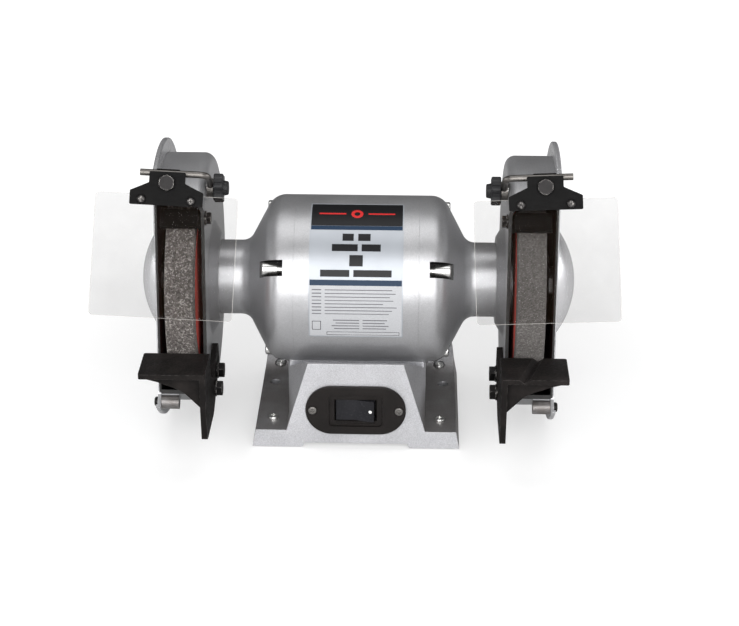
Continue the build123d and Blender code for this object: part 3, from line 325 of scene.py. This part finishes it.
def abrasive(name, grit, dark, middle, light):
    """Vitrified grit: pale and dark grains of grit millimetres in a duller bond."""
    look = Look(name, Specular_IOR_Level=0.35)
    tone, distance = look.cells(grit)
    fine, _ = look.cells(grit * 0.45)
    cloud = look.noise(18.0, 3.0)
    mixed = tone * 0.6 + fine * 0.28 + cloud * 0.22
    colour = look.ramp(mixed, [(0.14, dark), (0.46, middle), (0.64, middle), (0.95, light)])
    look.set("Base Color", colour)
    look.set("Roughness", tone.spread(0.0, 1.0, 0.7, 0.95))
    look.bump(distance, grit * 0.45)
    look.bump(fine, grit * 0.12)
    return look.material


def moulded(name, colour, roughness, texture=0.9, depth=0.02, edge=0.4):
    """Moulded plastic or rubber with a light spark texture."""
    look = Look(name, Specular_IOR_Level=0.18)
    look.soft_edges(edge)
    grain = look.noise(texture, 3.0)
    cloud = look.noise(20.0, 3.0)
    look.set("Base Color", look.blend(cloud.spread(0.35, 0.7), colour, shade(colour, 1.5)))
    look.set("Roughness", grain.spread(0.3, 0.7, roughness - 0.06, roughness + 0.08))
    look.bump(grain, depth)
    return look.material


def paper(name, colour):
    look = Look(name)
    fibres = look.noise(0.8, 5.0, 0.7, (1, 1, 3))
    look.set("Base Color", look.blend(fibres, shade(colour, 0.7), shade(colour, 1.25)))
    look.set("Roughness", fibres.spread(0.3, 0.7, 0.75, 0.95))
    look.bump(fibres, 0.05)
    return look.material


def foil(name, colour):
    """Satin printed foil with a fine rolled grain."""
    look = Look(name, Metallic=0.35, Coat_Weight=0.2, Coat_Roughness=0.25)
    grain = look.noise(0.5, 2.0, 0.5, (12, 1, 1))
    cloud = look.noise(30.0, 2.0)
    look.set("Base Color", look.blend(cloud.spread(0.35, 0.7), colour, shade(colour, 0.93)))
    look.set("Roughness", grain.spread(0.3, 0.7, 0.3, 0.42))
    look.bump(grain, 0.006)
    return look.material


def ink(name, colour, roughness=0.38):
    look = Look(name, Specular_IOR_Level=0.25)
    grain = look.noise(0.6, 3.0)
    look.set("Base Color", look.blend(grain.spread(0.3, 0.7), shade(colour, 0.9), shade(colour, 1.1)))
    look.set("Roughness", grain.spread(0.3, 0.7, roughness - 0.05, roughness + 0.08))
    look.bump(grain, 0.004)
    return look.material


def stacked(name, colour, pitch):
    """Laminations: thin sheets stacked along X."""
    look = Look(name, Metallic=0.9)
    x, _, _ = look.xyz()
    sheets = (x * (2 * math.pi / (pitch * MM))).math("SINE")
    rust = look.noise(7.0, 5.0)
    look.set("Base Color", look.blend(rust.spread(0.5, 0.75), colour, (0.2, 0.12, 0.08)))
    look.set("Roughness", rust.spread(0.3, 0.7, 0.4, 0.65))
    look.bump(sheets, 0.06)
    return look.material


def copper(name):
    look = Look(name, Metallic=0.85, Coat_Weight=0.5, Coat_Roughness=0.12)
    x, y, z = look.xyz()
    strands = ((x + (y + z) * 0.35) * (2 * math.pi / (0.8 * MM))).math("SINE")
    varnish = look.noise(9.0, 4.0)
    look.set("Base Color", look.blend(varnish, (0.42, 0.16, 0.06), (0.72, 0.33, 0.14)))
    look.set("Roughness", varnish.spread(0.3, 0.7, 0.28, 0.42))
    look.bump(strands, 0.12)
    return look.material


def clear_sheet(name, node):
    """Clear polycarbonate: faintly warm and nearly invisible face on, with a painted highlight at the
    edges, which are paler and denser.
    """
    look = Look(name, Specular_IOR_Level=0.06)
    facing = flat_normal(node)
    dot = look.nodes.new("ShaderNodeVectorMath")
    dot.operation = "DOT_PRODUCT"
    look.links.new(look.coordinates.outputs["Normal"], dot.inputs[0])
    dot.inputs[1].default_value = facing
    edge = Signal(look, dot.outputs["Value"]).size().spread(0.9, 0.5)
    haze = look.noise(28.0, 5.0, 0.65)
    scratches = look.noise(1.2, 4.0, 0.7, (0.12, 1, 1))
    # Painted highlight: where a face runs across the sheet, along its edges, the colour turns pale and
    # the alpha rises.
    look.set("Base Color", look.blend(edge, (0.014, 0.008, 0.004), (0.95, 0.92, 0.87)))
    look.set("Alpha", haze.spread(0.3, 0.75, 0.085, 0.115) + edge * 0.38)
    look.set("Roughness", scratches.spread(0.45, 0.75, 0.05, 0.16))
    look.bump(haze, 0.01)
    return look.material


def flat_normal(node):
    """The direction that the largest faces of a CAD node look in."""
    areas = {}
    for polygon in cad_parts[node].data.polygons:
        key = tuple(round(abs(value), 2) for value in polygon.normal)
        total, normal = areas.get(key, (0.0, polygon.normal.copy()))
        areas[key] = (total + polygon.area, normal)
    return max(areas.values(), key=lambda entry: entry[0])[1]


# ---------------------------------------------------------------- painted shade inside the guards, and other painted shade and highlight masks

MOUTH_FROM = (-60.0, 96.0)
MOUTH_TO = (-81.0, -78.0)
GUARD_INSIDE = (136.8, 112.0)
COVER_INSIDE_X = 176.3
GUARD_EDGE = 114.9
GUARD_FROM_X, COVER_TO_X = 133.0, 178.0
LUG_FROM_X = 140.0
LUG_FROM_REACH = (GUARD_EDGE, 117.0)
DOME_TO_REACH = (57.0, 50.0)
DOME_HOLLOW = 52.0
DOME_CENTRE_X = 179.0 - math.sqrt(80.0**2 - 53.0**2)
DOME_INSIDE = 78.8
POCKET_HALF_WIDTH = 7.25
POCKET_LOW, POCKET_HIGH = 58.9, 76.2
POCKET_FLOOR_X = 65.4


def about_spindle(look):
    """Distance from the machine's middle, and depth and height from the spindle, in millimetres."""
    x, y, z = look.xyz()
    return x.size() * 1000, (y - AXIS_Y) * 1000, (z - AXIS_Z) * 1000


def mouth_edge(y, z, width=0.35):
    dy, dz = MOUTH_TO[0] - MOUTH_FROM[0], MOUTH_TO[1] - MOUTH_FROM[1]
    length = math.hypot(dy, dz)
    offset = ((y - MOUTH_FROM[0]) * (dz / length) - (z - MOUTH_FROM[1]) * (dy / length)).size()
    return offset < width


# Painted shade: the guard's inside and the cut edge of its mouth, where shade falls, are painted near
# black.
def guard_inside_shade(look):
    x, y, z = about_spindle(look)
    inside = (x > GUARD_INSIDE[0]) & (hypot(y, z) < GUARD_INSIDE[1])
    return inside | (mouth_edge(y, z) & (x > GUARD_FROM_X))


def lug_darkening(look):
    """Darker noisy patches on the lugs that the cover is screwed to."""
    x, y, z = about_spindle(look)
    lug = (x > LUG_FROM_X) * hypot(y, z).spread(*LUG_FROM_REACH)
    return lug * look.noise(5.0, 3.0).spread(0.2, 0.6, 0.5, 0.85)


def bolt_pocket_shade(look):
    """Painted shade in the slots that the through-bolts' caps stand in: 1 inside them."""
    x, y, z = about_spindle(look)
    mask = None
    for angle in BOLT_ANGLES:
        turn = math.radians(angle)
        across = (y * math.sin(turn) + z * math.cos(turn)).size()
        reach = z * math.sin(turn) - y * math.cos(turn)
        slot = (across < POCKET_HALF_WIDTH) & (reach > POCKET_LOW) & (reach < POCKET_HIGH)
        mask = mask | slot if mask else slot
    return mask & (x > POCKET_FLOOR_X)


def side_floor_shade(look):
    """Painted shade on the base's low side floors and in the corners beside its front panel, where they
    do not face forward, broken up by noise.
    """
    x, _, z = about_spindle(look)
    low_sides = x.spread(50.0, 62.0) * z.spread(-90.0, -116.0)
    front = look.xyz(look.nodes.new("ShaderNodeNewGeometry").outputs["Normal"])[1]
    mottling = look.noise(30.0, 3.0).spread(0.2, 0.6, 0.7, 1.0)
    return low_sides * front.spread(-0.8, -0.4, 0.0, 0.75) * mottling


def cover_dome_highlight(look):
    """The cover's middle, which is spun smoother than its rim and painted lighter there as a painted
    highlight.
    """
    _, y, z = about_spindle(look)
    return hypot(y, z).spread(*DOME_TO_REACH)


# Painted shade: the cover's inside, its dome's hollow and the cut edge of its mouth, where shade falls,
# are painted near black.
def cover_inside_shade(look):
    x, y, z = about_spindle(look)
    reach = hypot(y, z)
    dome = hypot(reach, x - DOME_CENTRE_X) < DOME_INSIDE
    behind = ((x < COVER_INSIDE_X) & (reach < GUARD_EDGE)) | (dome & (reach < DOME_HOLLOW))
    return behind | (mouth_edge(y, z) & (x < COVER_TO_X))


# ---------------------------------------------------------------- mesh pieces


def piece(name, vertices, faces, body, material, sharp=35.0):
    mesh = bpy.data.meshes.new(name)
    mesh.from_pydata([tuple(v) for v in vertices], [], faces)
    mesh.validate()
    return finished(name, mesh, body, material, sharp)


def finished(name, mesh, body, material, sharp=35.0):
    mesh.materials.append(material)
    mesh.shade_smooth()
    mesh.set_sharp_from_angle(angle=math.radians(sharp))
    made = bpy.data.objects.new(name, mesh)
    bpy.context.scene.collection.objects.link(made)
    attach(made, body)
    return made


def ring_faces(rings, count, wrap=False):
    """Quads between rings of count points each."""
    faces = []
    for j in range(rings if wrap else rings - 1):
        after = (j + 1) % rings
        for i in range(count):
            k = (i + 1) % count
            faces.append((j * count + i, j * count + k, after * count + k, after * count + i))
    return faces


def lathe(profile, count, place):
    """A solid turned from (radius, height) points, about the local Z of place, closed at both ends."""
    vertices = []
    for radius, height in profile:
        for i in range(count):
            angle = 2 * math.pi * i / count
            vertices.append(place @ Vector((radius * math.cos(angle), radius * math.sin(angle), height)))
    faces = ring_faces(len(profile), count)
    faces.append(tuple(range(count))[::-1])
    faces.append(tuple(range((len(profile) - 1) * count, len(profile) * count)))
    return vertices, faces


def wheel_profile(x0, x1, bore, radius, rounding=1.4):
    """The wheel's section as (x, radius) points, close together where it shows."""
    side = [bore, bore + 12.0, 38.0]
    reach = 40.0
    while reach < radius - rounding - 0.5:
        side.append(reach)
        reach += 2.2
    side.append(radius - rounding)
    corner = [math.radians(a) for a in (22.5, 45.0, 67.5)]
    near = [(x0, r) for r in side]
    near += [(x0 + rounding * (1 - math.cos(a)), radius - rounding * (1 - math.sin(a))) for a in corner]
    steps = 22
    rim = [(x0 + rounding + (x1 - x0 - 2 * rounding) * i / steps, radius) for i in range(steps + 1)]
    return near + rim + [(x0 + x1 - x, r) for x, r in reversed(near)]


def grinding_wheel(side, grit, material):
    """A wheel with a rough dressed surface in place of the plain CAD solid."""
    node = f"{side}_wheel"
    low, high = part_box(node)
    radius = (high.z - low.z) / 2 / MM - grit * 0.12
    middle = Vector((0, AXIS_Y, AXIS_Z))
    bore = min((Vector(v.co) - middle).yz.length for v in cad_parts[node].data.vertices) / MM
    profile = wheel_profile(low.x / MM + grit * 0.1, high.x / MM - grit * 0.1, bore, radius)
    count = 432
    middle_x = (low.x + high.x) / 2 / MM
    vertices = []
    for x, reach in profile:
        for i in range(count):
            angle = 2 * math.pi * i / count
            out = Vector((0, math.cos(angle), math.sin(angle)))
            point = Vector((x, 0, 0)) + out * reach
            rough = noise.noise(point / grit) * 0.6 + noise.noise(point / (grit * 2.7)) * 0.4
            groove = 0.25 * math.sin(x * 2.9) if reach > radius - 0.1 else 0.0
            push = (rough + groove) * grit * 0.11 if reach > 39.0 else 0.0
            outward = out if reach > radius - 1.5 else Vector((math.copysign(1, x - middle_x), 0, 0))
            vertices.append((point + outward * push) * MM + middle)
    faces = ring_faces(len(profile), count, wrap=True)
    made = piece(f"{side}_wheel_grit", vertices, faces, "rotor", material, 60.0)
    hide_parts(node)


def clear_shield(side):
    """The clear sheet with its edges and corners rounded over."""
    node = f"{side}_eye_shield"
    sheet = bmesh.new()
    sheet.from_mesh(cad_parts[node].data)
    bmesh.ops.remove_doubles(sheet, verts=sheet.verts, dist=0.01 * MM)
    rims = [e for e in sheet.edges if len(e.link_faces) == 2 and e.calc_face_angle() > math.radians(40)]
    bmesh.ops.bevel(sheet, geom=rims, offset=0.9 * MM, segments=3, profile=0.5, affect="EDGES")
    mesh = bpy.data.meshes.new(node)
    sheet.to_mesh(mesh)
    sheet.free()
    material = clear_sheet(f"clear_{side}", node)
    made = finished(f"{side}_clear_sheet", mesh, f"{side}_eye_shield", material)
    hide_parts(node)


SHELL_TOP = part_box("motor_shell")[1].z
LABEL_RADIUS = (SHELL_TOP - AXIS_Z) / MM + 0.4
PRINT_STEP = 0.03


def slab(x0, x1, a0, a1, layer):
    """A thin printed area on the label, x0 to x1 mm across and a0 to a1 degrees above straight ahead."""
    steps = max(1, math.ceil((a1 - a0) / 2.0))
    inner = LABEL_RADIUS - 0.02
    outer = LABEL_RADIUS + PRINT_STEP * layer
    vertices = []
    for i in range(steps + 1):
        angle = math.radians(a0 + (a1 - a0) * i / steps)
        for x, reach in ((x0, inner), (x1, inner), (x1, outer), (x0, outer)):
            y = AXIS_Y - reach * math.cos(angle) * MM
            z = AXIS_Z + reach * math.sin(angle) * MM
            vertices.append((x * MM, y, z))
    faces = [(0, 1, 2, 3), tuple(4 * steps + k for k in (3, 2, 1, 0))]
    for i in range(steps):
        for k in range(4):
            after = (k + 1) % 4
            faces.append((4 * i + k, 4 * i + 4 + k, 4 * i + 4 + after, 4 * i + after))
    return vertices, faces


def printed(name, areas, material, layer=1):
    vertices, faces = [], []
    for area in areas:
        more, sides = slab(*area, layer)
        faces += [tuple(index + len(vertices) for index in face) for face in sides]
        vertices += more
    piece(name, vertices, faces, "root", material)


def bars(centre, widths, gap, a0, a1):
    """Side by side bars centred on x = centre."""
    total = sum(widths) + gap * (len(widths) - 1)
    x = centre - total / 2
    areas = []
    for width in widths:
        areas.append((x, x + width, a0, a1))
        x += width + gap
    return areas


def outline(x0, x1, a0, a1, line, turn):
    """A thin frame; turn is its thickness in degrees where it runs along X."""
    across = [(x0, x1, a0, a0 + turn), (x0, x1, a1 - turn, a1)]
    return across + [(x0, x0 + line, a0, a1), (x1 - line, x1, a0, a1)]


def rating_label():
    """Generic print: a dark header with a wheel sign, two stripes, plain bars and fine rules."""
    black = ink("label_black", (0.004, 0.004, 0.005))
    blue = ink("label_blue", (0.003, 0.02, 0.05))
    red = ink("label_red", (0.5, 0.02, 0.02))
    grey = ink("label_grey", (0.12, 0.12, 0.13))
    pale = ink("label_pale", (0.4, 0.405, 0.42), 0.45)
    edge = 41.0
    printed("label_header", [(-edge, edge, 61.0, 83.0)], black)
    printed("label_stripes", [(-edge, edge, 57.6, 60.9), (-edge, edge, 18.8, 22.6)], blue)
    printed("label_field", [(-edge, edge, -18.2, 18.7)], pale)
    rows = bars(0, [10.0, 11.0], 4.0, 49.2, 54.6) + bars(0, [23.0, 17.0], 3.5, 41.8, 46.8)
    rows += bars(0, [12.0], 0, 31.6, 39.2) + bars(0, [26.0, 34.0], 3.5, 24.6, 29.2)
    printed("label_bars", rows, black)
    fine = []
    widths = (60, 63, 58, 61, 52, 64, 60, 57)
    for row, width in enumerate(widths):
        angle = 15.6 - 2.35 * row
        fine.append((-39.0, -30.5, angle, angle + 0.75))
        fine.append((-27.5, -27.5 + width, angle, angle + 0.6))
    for row, width in enumerate((52, 47, 55, 50)):
        angle = -5.6 - 2.2 * row
        fine += bars(4.0, [width * 0.45, width * 0.42], 3.0, angle, angle + 0.7)
    printed("label_rules", fine, grey)
    frames = outline(-39.0, -31.0, -13.0, -6.0, 0.5, 0.4) + outline(-26.0, 39.0, -17.4, -14.6, 0.4, 0.3)
    printed("label_frames", frames, black, 2)
    printed("label_lines", bars(0, [24.0, 24.0], 20.0, 71.4, 72.8), red, 2)
    sign(red)


def sign(material):
    """A flat ring on the header: a plain picture of a wheel."""
    angle = math.radians(72.0)
    out = Vector((0, -math.cos(angle), math.sin(angle)))
    along = Vector((1, 0, 0))
    centre = Vector((0, AXIS_Y, AXIS_Z)) + out * (LABEL_RADIUS + 0.07) * MM
    count = 64
    vertices = []
    for reach, lift in ((2.6, -0.5), (2.6, 0.0), (5.4, 0.0), (5.4, -0.5)):
        for i in range(count):
            turn = 2 * math.pi * i / count
            across = reach * math.cos(turn)
            up = reach * math.sin(turn)
            sink = LABEL_RADIUS - math.sqrt(LABEL_RADIUS**2 - up**2)
            vertices.append(centre + (along * across + out.cross(along) * up + out * (lift - sink)) * MM)
    piece("label_sign", vertices, ring_faces(4, count, wrap=True), "root", material)


ROCKER_PIVOT = Vector((0, -72.5, 40.0))
ROCKER_TURN = math.radians(-8.0)


def rocker_dot():
    """The white pip on the rocker's right end."""
    pivot = Vector((0, AXIS_Y, 0)) + ROCKER_PIVOT * MM
    normal = Vector((-0.13, -0.99, 0)).normalized()
    spot = Vector((14.2, -5.12, 0))
    turn = Matrix.Rotation(ROCKER_TURN, 4, "Z")
    frame_axes = normal.to_track_quat("Z", "Y").to_matrix().to_4x4()
    place = Matrix.Translation(pivot) @ turn @ Matrix.Translation(spot * MM) @ frame_axes
    profile = [(1.5, -0.3), (1.5, 0.12), (1.25, 0.26), (0.7, 0.33), (0.2, 0.35)]
    vertices, faces = lathe([(r * MM, h * MM) for r, h in profile], 40, place)
    white = ink("dot_white", (0.8, 0.8, 0.78))
    piece("rocker_dot", vertices, faces, "switch_rocker", white)


# ---------------------------------------------------------------- materials of the CAD nodes

PAINT = (0.4, 0.4, 0.41)


def dress():
    shell = silver_paint("silver_shell", PAINT, 0.36)
    bell = silver_paint("silver_bell", PAINT, 0.36, dark=bolt_pocket_shade)
    guard = silver_paint("silver_guard", PAINT, 0.38, dark=guard_inside_shade, darkening=lug_darkening)
    # Painted light: the covers wear the shell's paint made 1.35 times lighter, for the brighter light on
    # their domes.
    cover = silver_paint("silver_cover", shade(PAINT, 1.35), 0.28, dark=cover_inside_shade, bright=cover_dome_highlight)
    base = silver_paint("silver_base", (0.56, 0.56, 0.58), 0.44, flake=0.2, peel=0.06, darkening=side_floor_shade)
    casting = black_casting("black_casting")
    enamel = black_enamel("black_enamel")
    # The black bolts' edges are painted pale: rubbed bare steel, and a painted highlight.
    black_bolt = plated("black_oxide", (0.022, 0.021, 0.021), 0.36, wear_and_highlight=(0.42, 0.4, 0.38))
    zinc = plated("zinc_bright", (0.72, 0.72, 0.7), 0.3)
    dull = plated("zinc_dull", (0.22, 0.21, 0.2), 0.42)
    sheet = plated("zinc_sheet", (0.6, 0.61, 0.62), 0.36, (1, 6, 1))
    rod = plated("zinc_rod", (0.17, 0.16, 0.15), 0.36, (0.15, 1, 1))
    rubber = moulded("black_rubber", (0.03, 0.03, 0.03), 0.72, 1.4, 0.06)
    plastic = moulded("black_plastic", (0.008, 0.0065, 0.006), 0.45)
    knob = moulded("knob_plastic", (0.014, 0.014, 0.015), 0.36, 1.2, 0.03, 0.8)
    rocker = moulded("rocker_gloss", (0.012, 0.012, 0.014), 0.22, 2.0, 0.008)
    ground = turned_steel("ground_steel", (0.66, 0.66, 0.67), 0.24)
    flange = turned_steel("flange_steel", (0.44, 0.44, 0.46), 0.38)
    blotter = paper("blotter_red", (0.3, 0.03, 0.02))
    can = plated("capacitor_can", (0.75, 0.75, 0.76), 0.28, (1, 1, 8))
    core = stacked("laminations", (0.36, 0.36, 0.38), 0.7)
    worn = {
        shell: ["motor_shell"],
        bell: ["left_end_bell", "right_end_bell"],
        guard: ["left_inner_guard", "right_inner_guard"],
        cover: ["left_outer_cover", "right_outer_cover"],
        base: ["base_casting"],
        casting: ["left_tool_rest", "right_tool_rest"],
        enamel: ["left_spark_arrester", "right_spark_arrester", "left_shield_clamp",
                 "right_shield_clamp"],
        black_bolt: ["left_shield_bolts", "right_shield_bolts", "rest_bolts", "left_arrester_bolt",
                     "right_arrester_bolt", "cover_screws"],
        dull: ["switch_plate_screws", "motor_mount_bolts"],
        zinc: ["bottom_plate_screws", "foot_screws", "through_bolts", "guard_screws", "pivot_studs",
               "left_spindle_nut", "right_spindle_nut"],
        sheet: ["base_bottom_plate", "capacitor_clamp", "preload_washer"],
        rod: ["left_shield_arm", "right_shield_arm"],
        rubber: ["rubber_feet", "cord_gland"],
        plastic: ["switch_plate", "switch_body"],
        knob: ["left_clamp_knob", "right_clamp_knob"],
        rocker: ["switch_rocker"],
        ground: ["shaft", "bearing_outer_rings", "bearing_inner_races"],
        flange: ["left_inner_flange", "right_inner_flange", "left_outer_flange", "right_outer_flange"],
        blotter: ["blotters"],
        can: ["capacitor"],
        core: ["stator_core", "rotor_core"],
        copper("copper_winding"): ["stator_windings"],
        foil("label_foil", (0.35, 0.37, 0.4)): ["nameplate"],
    }
    for material, names in worn.items():
        for name in names:
            wear(name, material)


def wear(name, material):
    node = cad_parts[name]
    if not node.material_slots:
        node.data.materials.append(material)
    for slot in node.material_slots:
        slot.material = material


# ---------------------------------------------------------------- floor, light and camera


def floor():
    look = Look("pale_floor", Base_Color=(0.5, 0.5, 0.5, 1.0), Emission_Color=(1.0, 1.0, 1.0, 1.0))
    x, y, _ = look.xyz()
    path = look.nodes.new("ShaderNodeLightPath")
    seen = Signal(look, path.outputs["Is Camera Ray"])
    look.set("Emission Strength", seen * hypot(x, y).spread(0.3, 1.2, 0.5, 1.1))
    mesh = bpy.data.meshes.new("floor")
    reach = 30.0
    corners = [(-reach, -reach, 0), (reach, -reach, 0), (reach, reach, 0), (-reach, reach, 0)]
    mesh.from_pydata(corners, [], [(0, 1, 2, 3)])
    mesh.materials.append(look.material)
    made = bpy.data.objects.new("floor", mesh)
    bpy.context.scene.collection.objects.link(made)


def softbox(name, place, target, width, height, power):
    light = bpy.data.lights.new(name, "AREA")
    light.shape = "RECTANGLE"
    light.size, light.size_y = width, height
    light.energy = power
    made = bpy.data.objects.new(name, light)
    made.location = place
    made.rotation_euler = (Vector(target) - Vector(place)).to_track_quat("-Z", "Y").to_euler()
    bpy.context.scene.collection.objects.link(made)


def lights():
    middle = (0, AXIS_Y, AXIS_Z)
    softbox("key_box", (0.0, -1.7, 1.3), middle, 2.4, 1.2, 42)
    softbox("top_box", (0.0, 0.1, 1.8), middle, 1.9, 1.0, 12)
    softbox("front_strip", (0.0, -2.2, 0.43), middle, 2.6, 0.3, 22)
    softbox("left_box", (-2.0, -0.1, 0.6), middle, 2.6, 1.3, 28)
    softbox("right_box", (2.0, -0.1, 0.6), middle, 2.6, 1.3, 28)
    world = bpy.data.worlds.new("studio")
    world.use_nodes = True
    bpy.context.scene.world = world
    nodes, links = world.node_tree.nodes, world.node_tree.links
    background = nodes["Background"]
    background.inputs["Color"].default_value = (1.0, 1.0, 1.0, 1.0)
    path = nodes.new("ShaderNodeLightPath")
    seen = nodes.new("ShaderNodeMapRange")
    links.new(path.outputs["Is Camera Ray"], seen.inputs["Value"])
    seen.inputs["To Min"].default_value = 0.12
    seen.inputs["To Max"].default_value = 1.0
    links.new(seen.outputs[0], background.inputs["Strength"])


CAMERA_DISTANCE = 1.8
CAMERA_AZIMUTH = 1.8
CAMERA_ELEVATION = 24.0


def camera():
    azimuth, elevation = math.radians(CAMERA_AZIMUTH), math.radians(CAMERA_ELEVATION)
    back = Vector((math.sin(azimuth) * math.cos(elevation), -math.cos(azimuth) * math.cos(elevation),
                   math.sin(elevation)))
    data = bpy.data.cameras.new("camera")
    data.lens = 94.7
    data.sensor_width = 36.0
    data.shift_x = 0.0152
    data.shift_y = -0.0474
    data.clip_end = 100.0
    made = bpy.data.objects.new("camera", data)
    made.location = Vector((0, AXIS_Y, AXIS_Z)) + back * CAMERA_DISTANCE
    made.rotation_euler = (-back).to_track_quat("-Z", "Y").to_euler()
    bpy.context.scene.collection.objects.link(made)
    bpy.context.scene.camera = made
    bpy.context.scene.view_settings.view_transform = "Standard"
    bpy.context.scene.view_settings.look = "None"


camera()
floor()
lights()
dress()
COARSE = abrasive("coarse_grit", 1.3, (0.024, 0.021, 0.0195), (0.1, 0.088, 0.082), (0.36, 0.335, 0.315))
FINE = abrasive("fine_grit", 0.9, (0.044, 0.04, 0.0375), (0.1, 0.092, 0.087), (0.205, 0.195, 0.187))
grinding_wheel("left", 0.85, COARSE)
grinding_wheel("right", 0.5, FINE)
for side in SIDES:
    clear_shield(side)
rating_label()
rocker_dot()
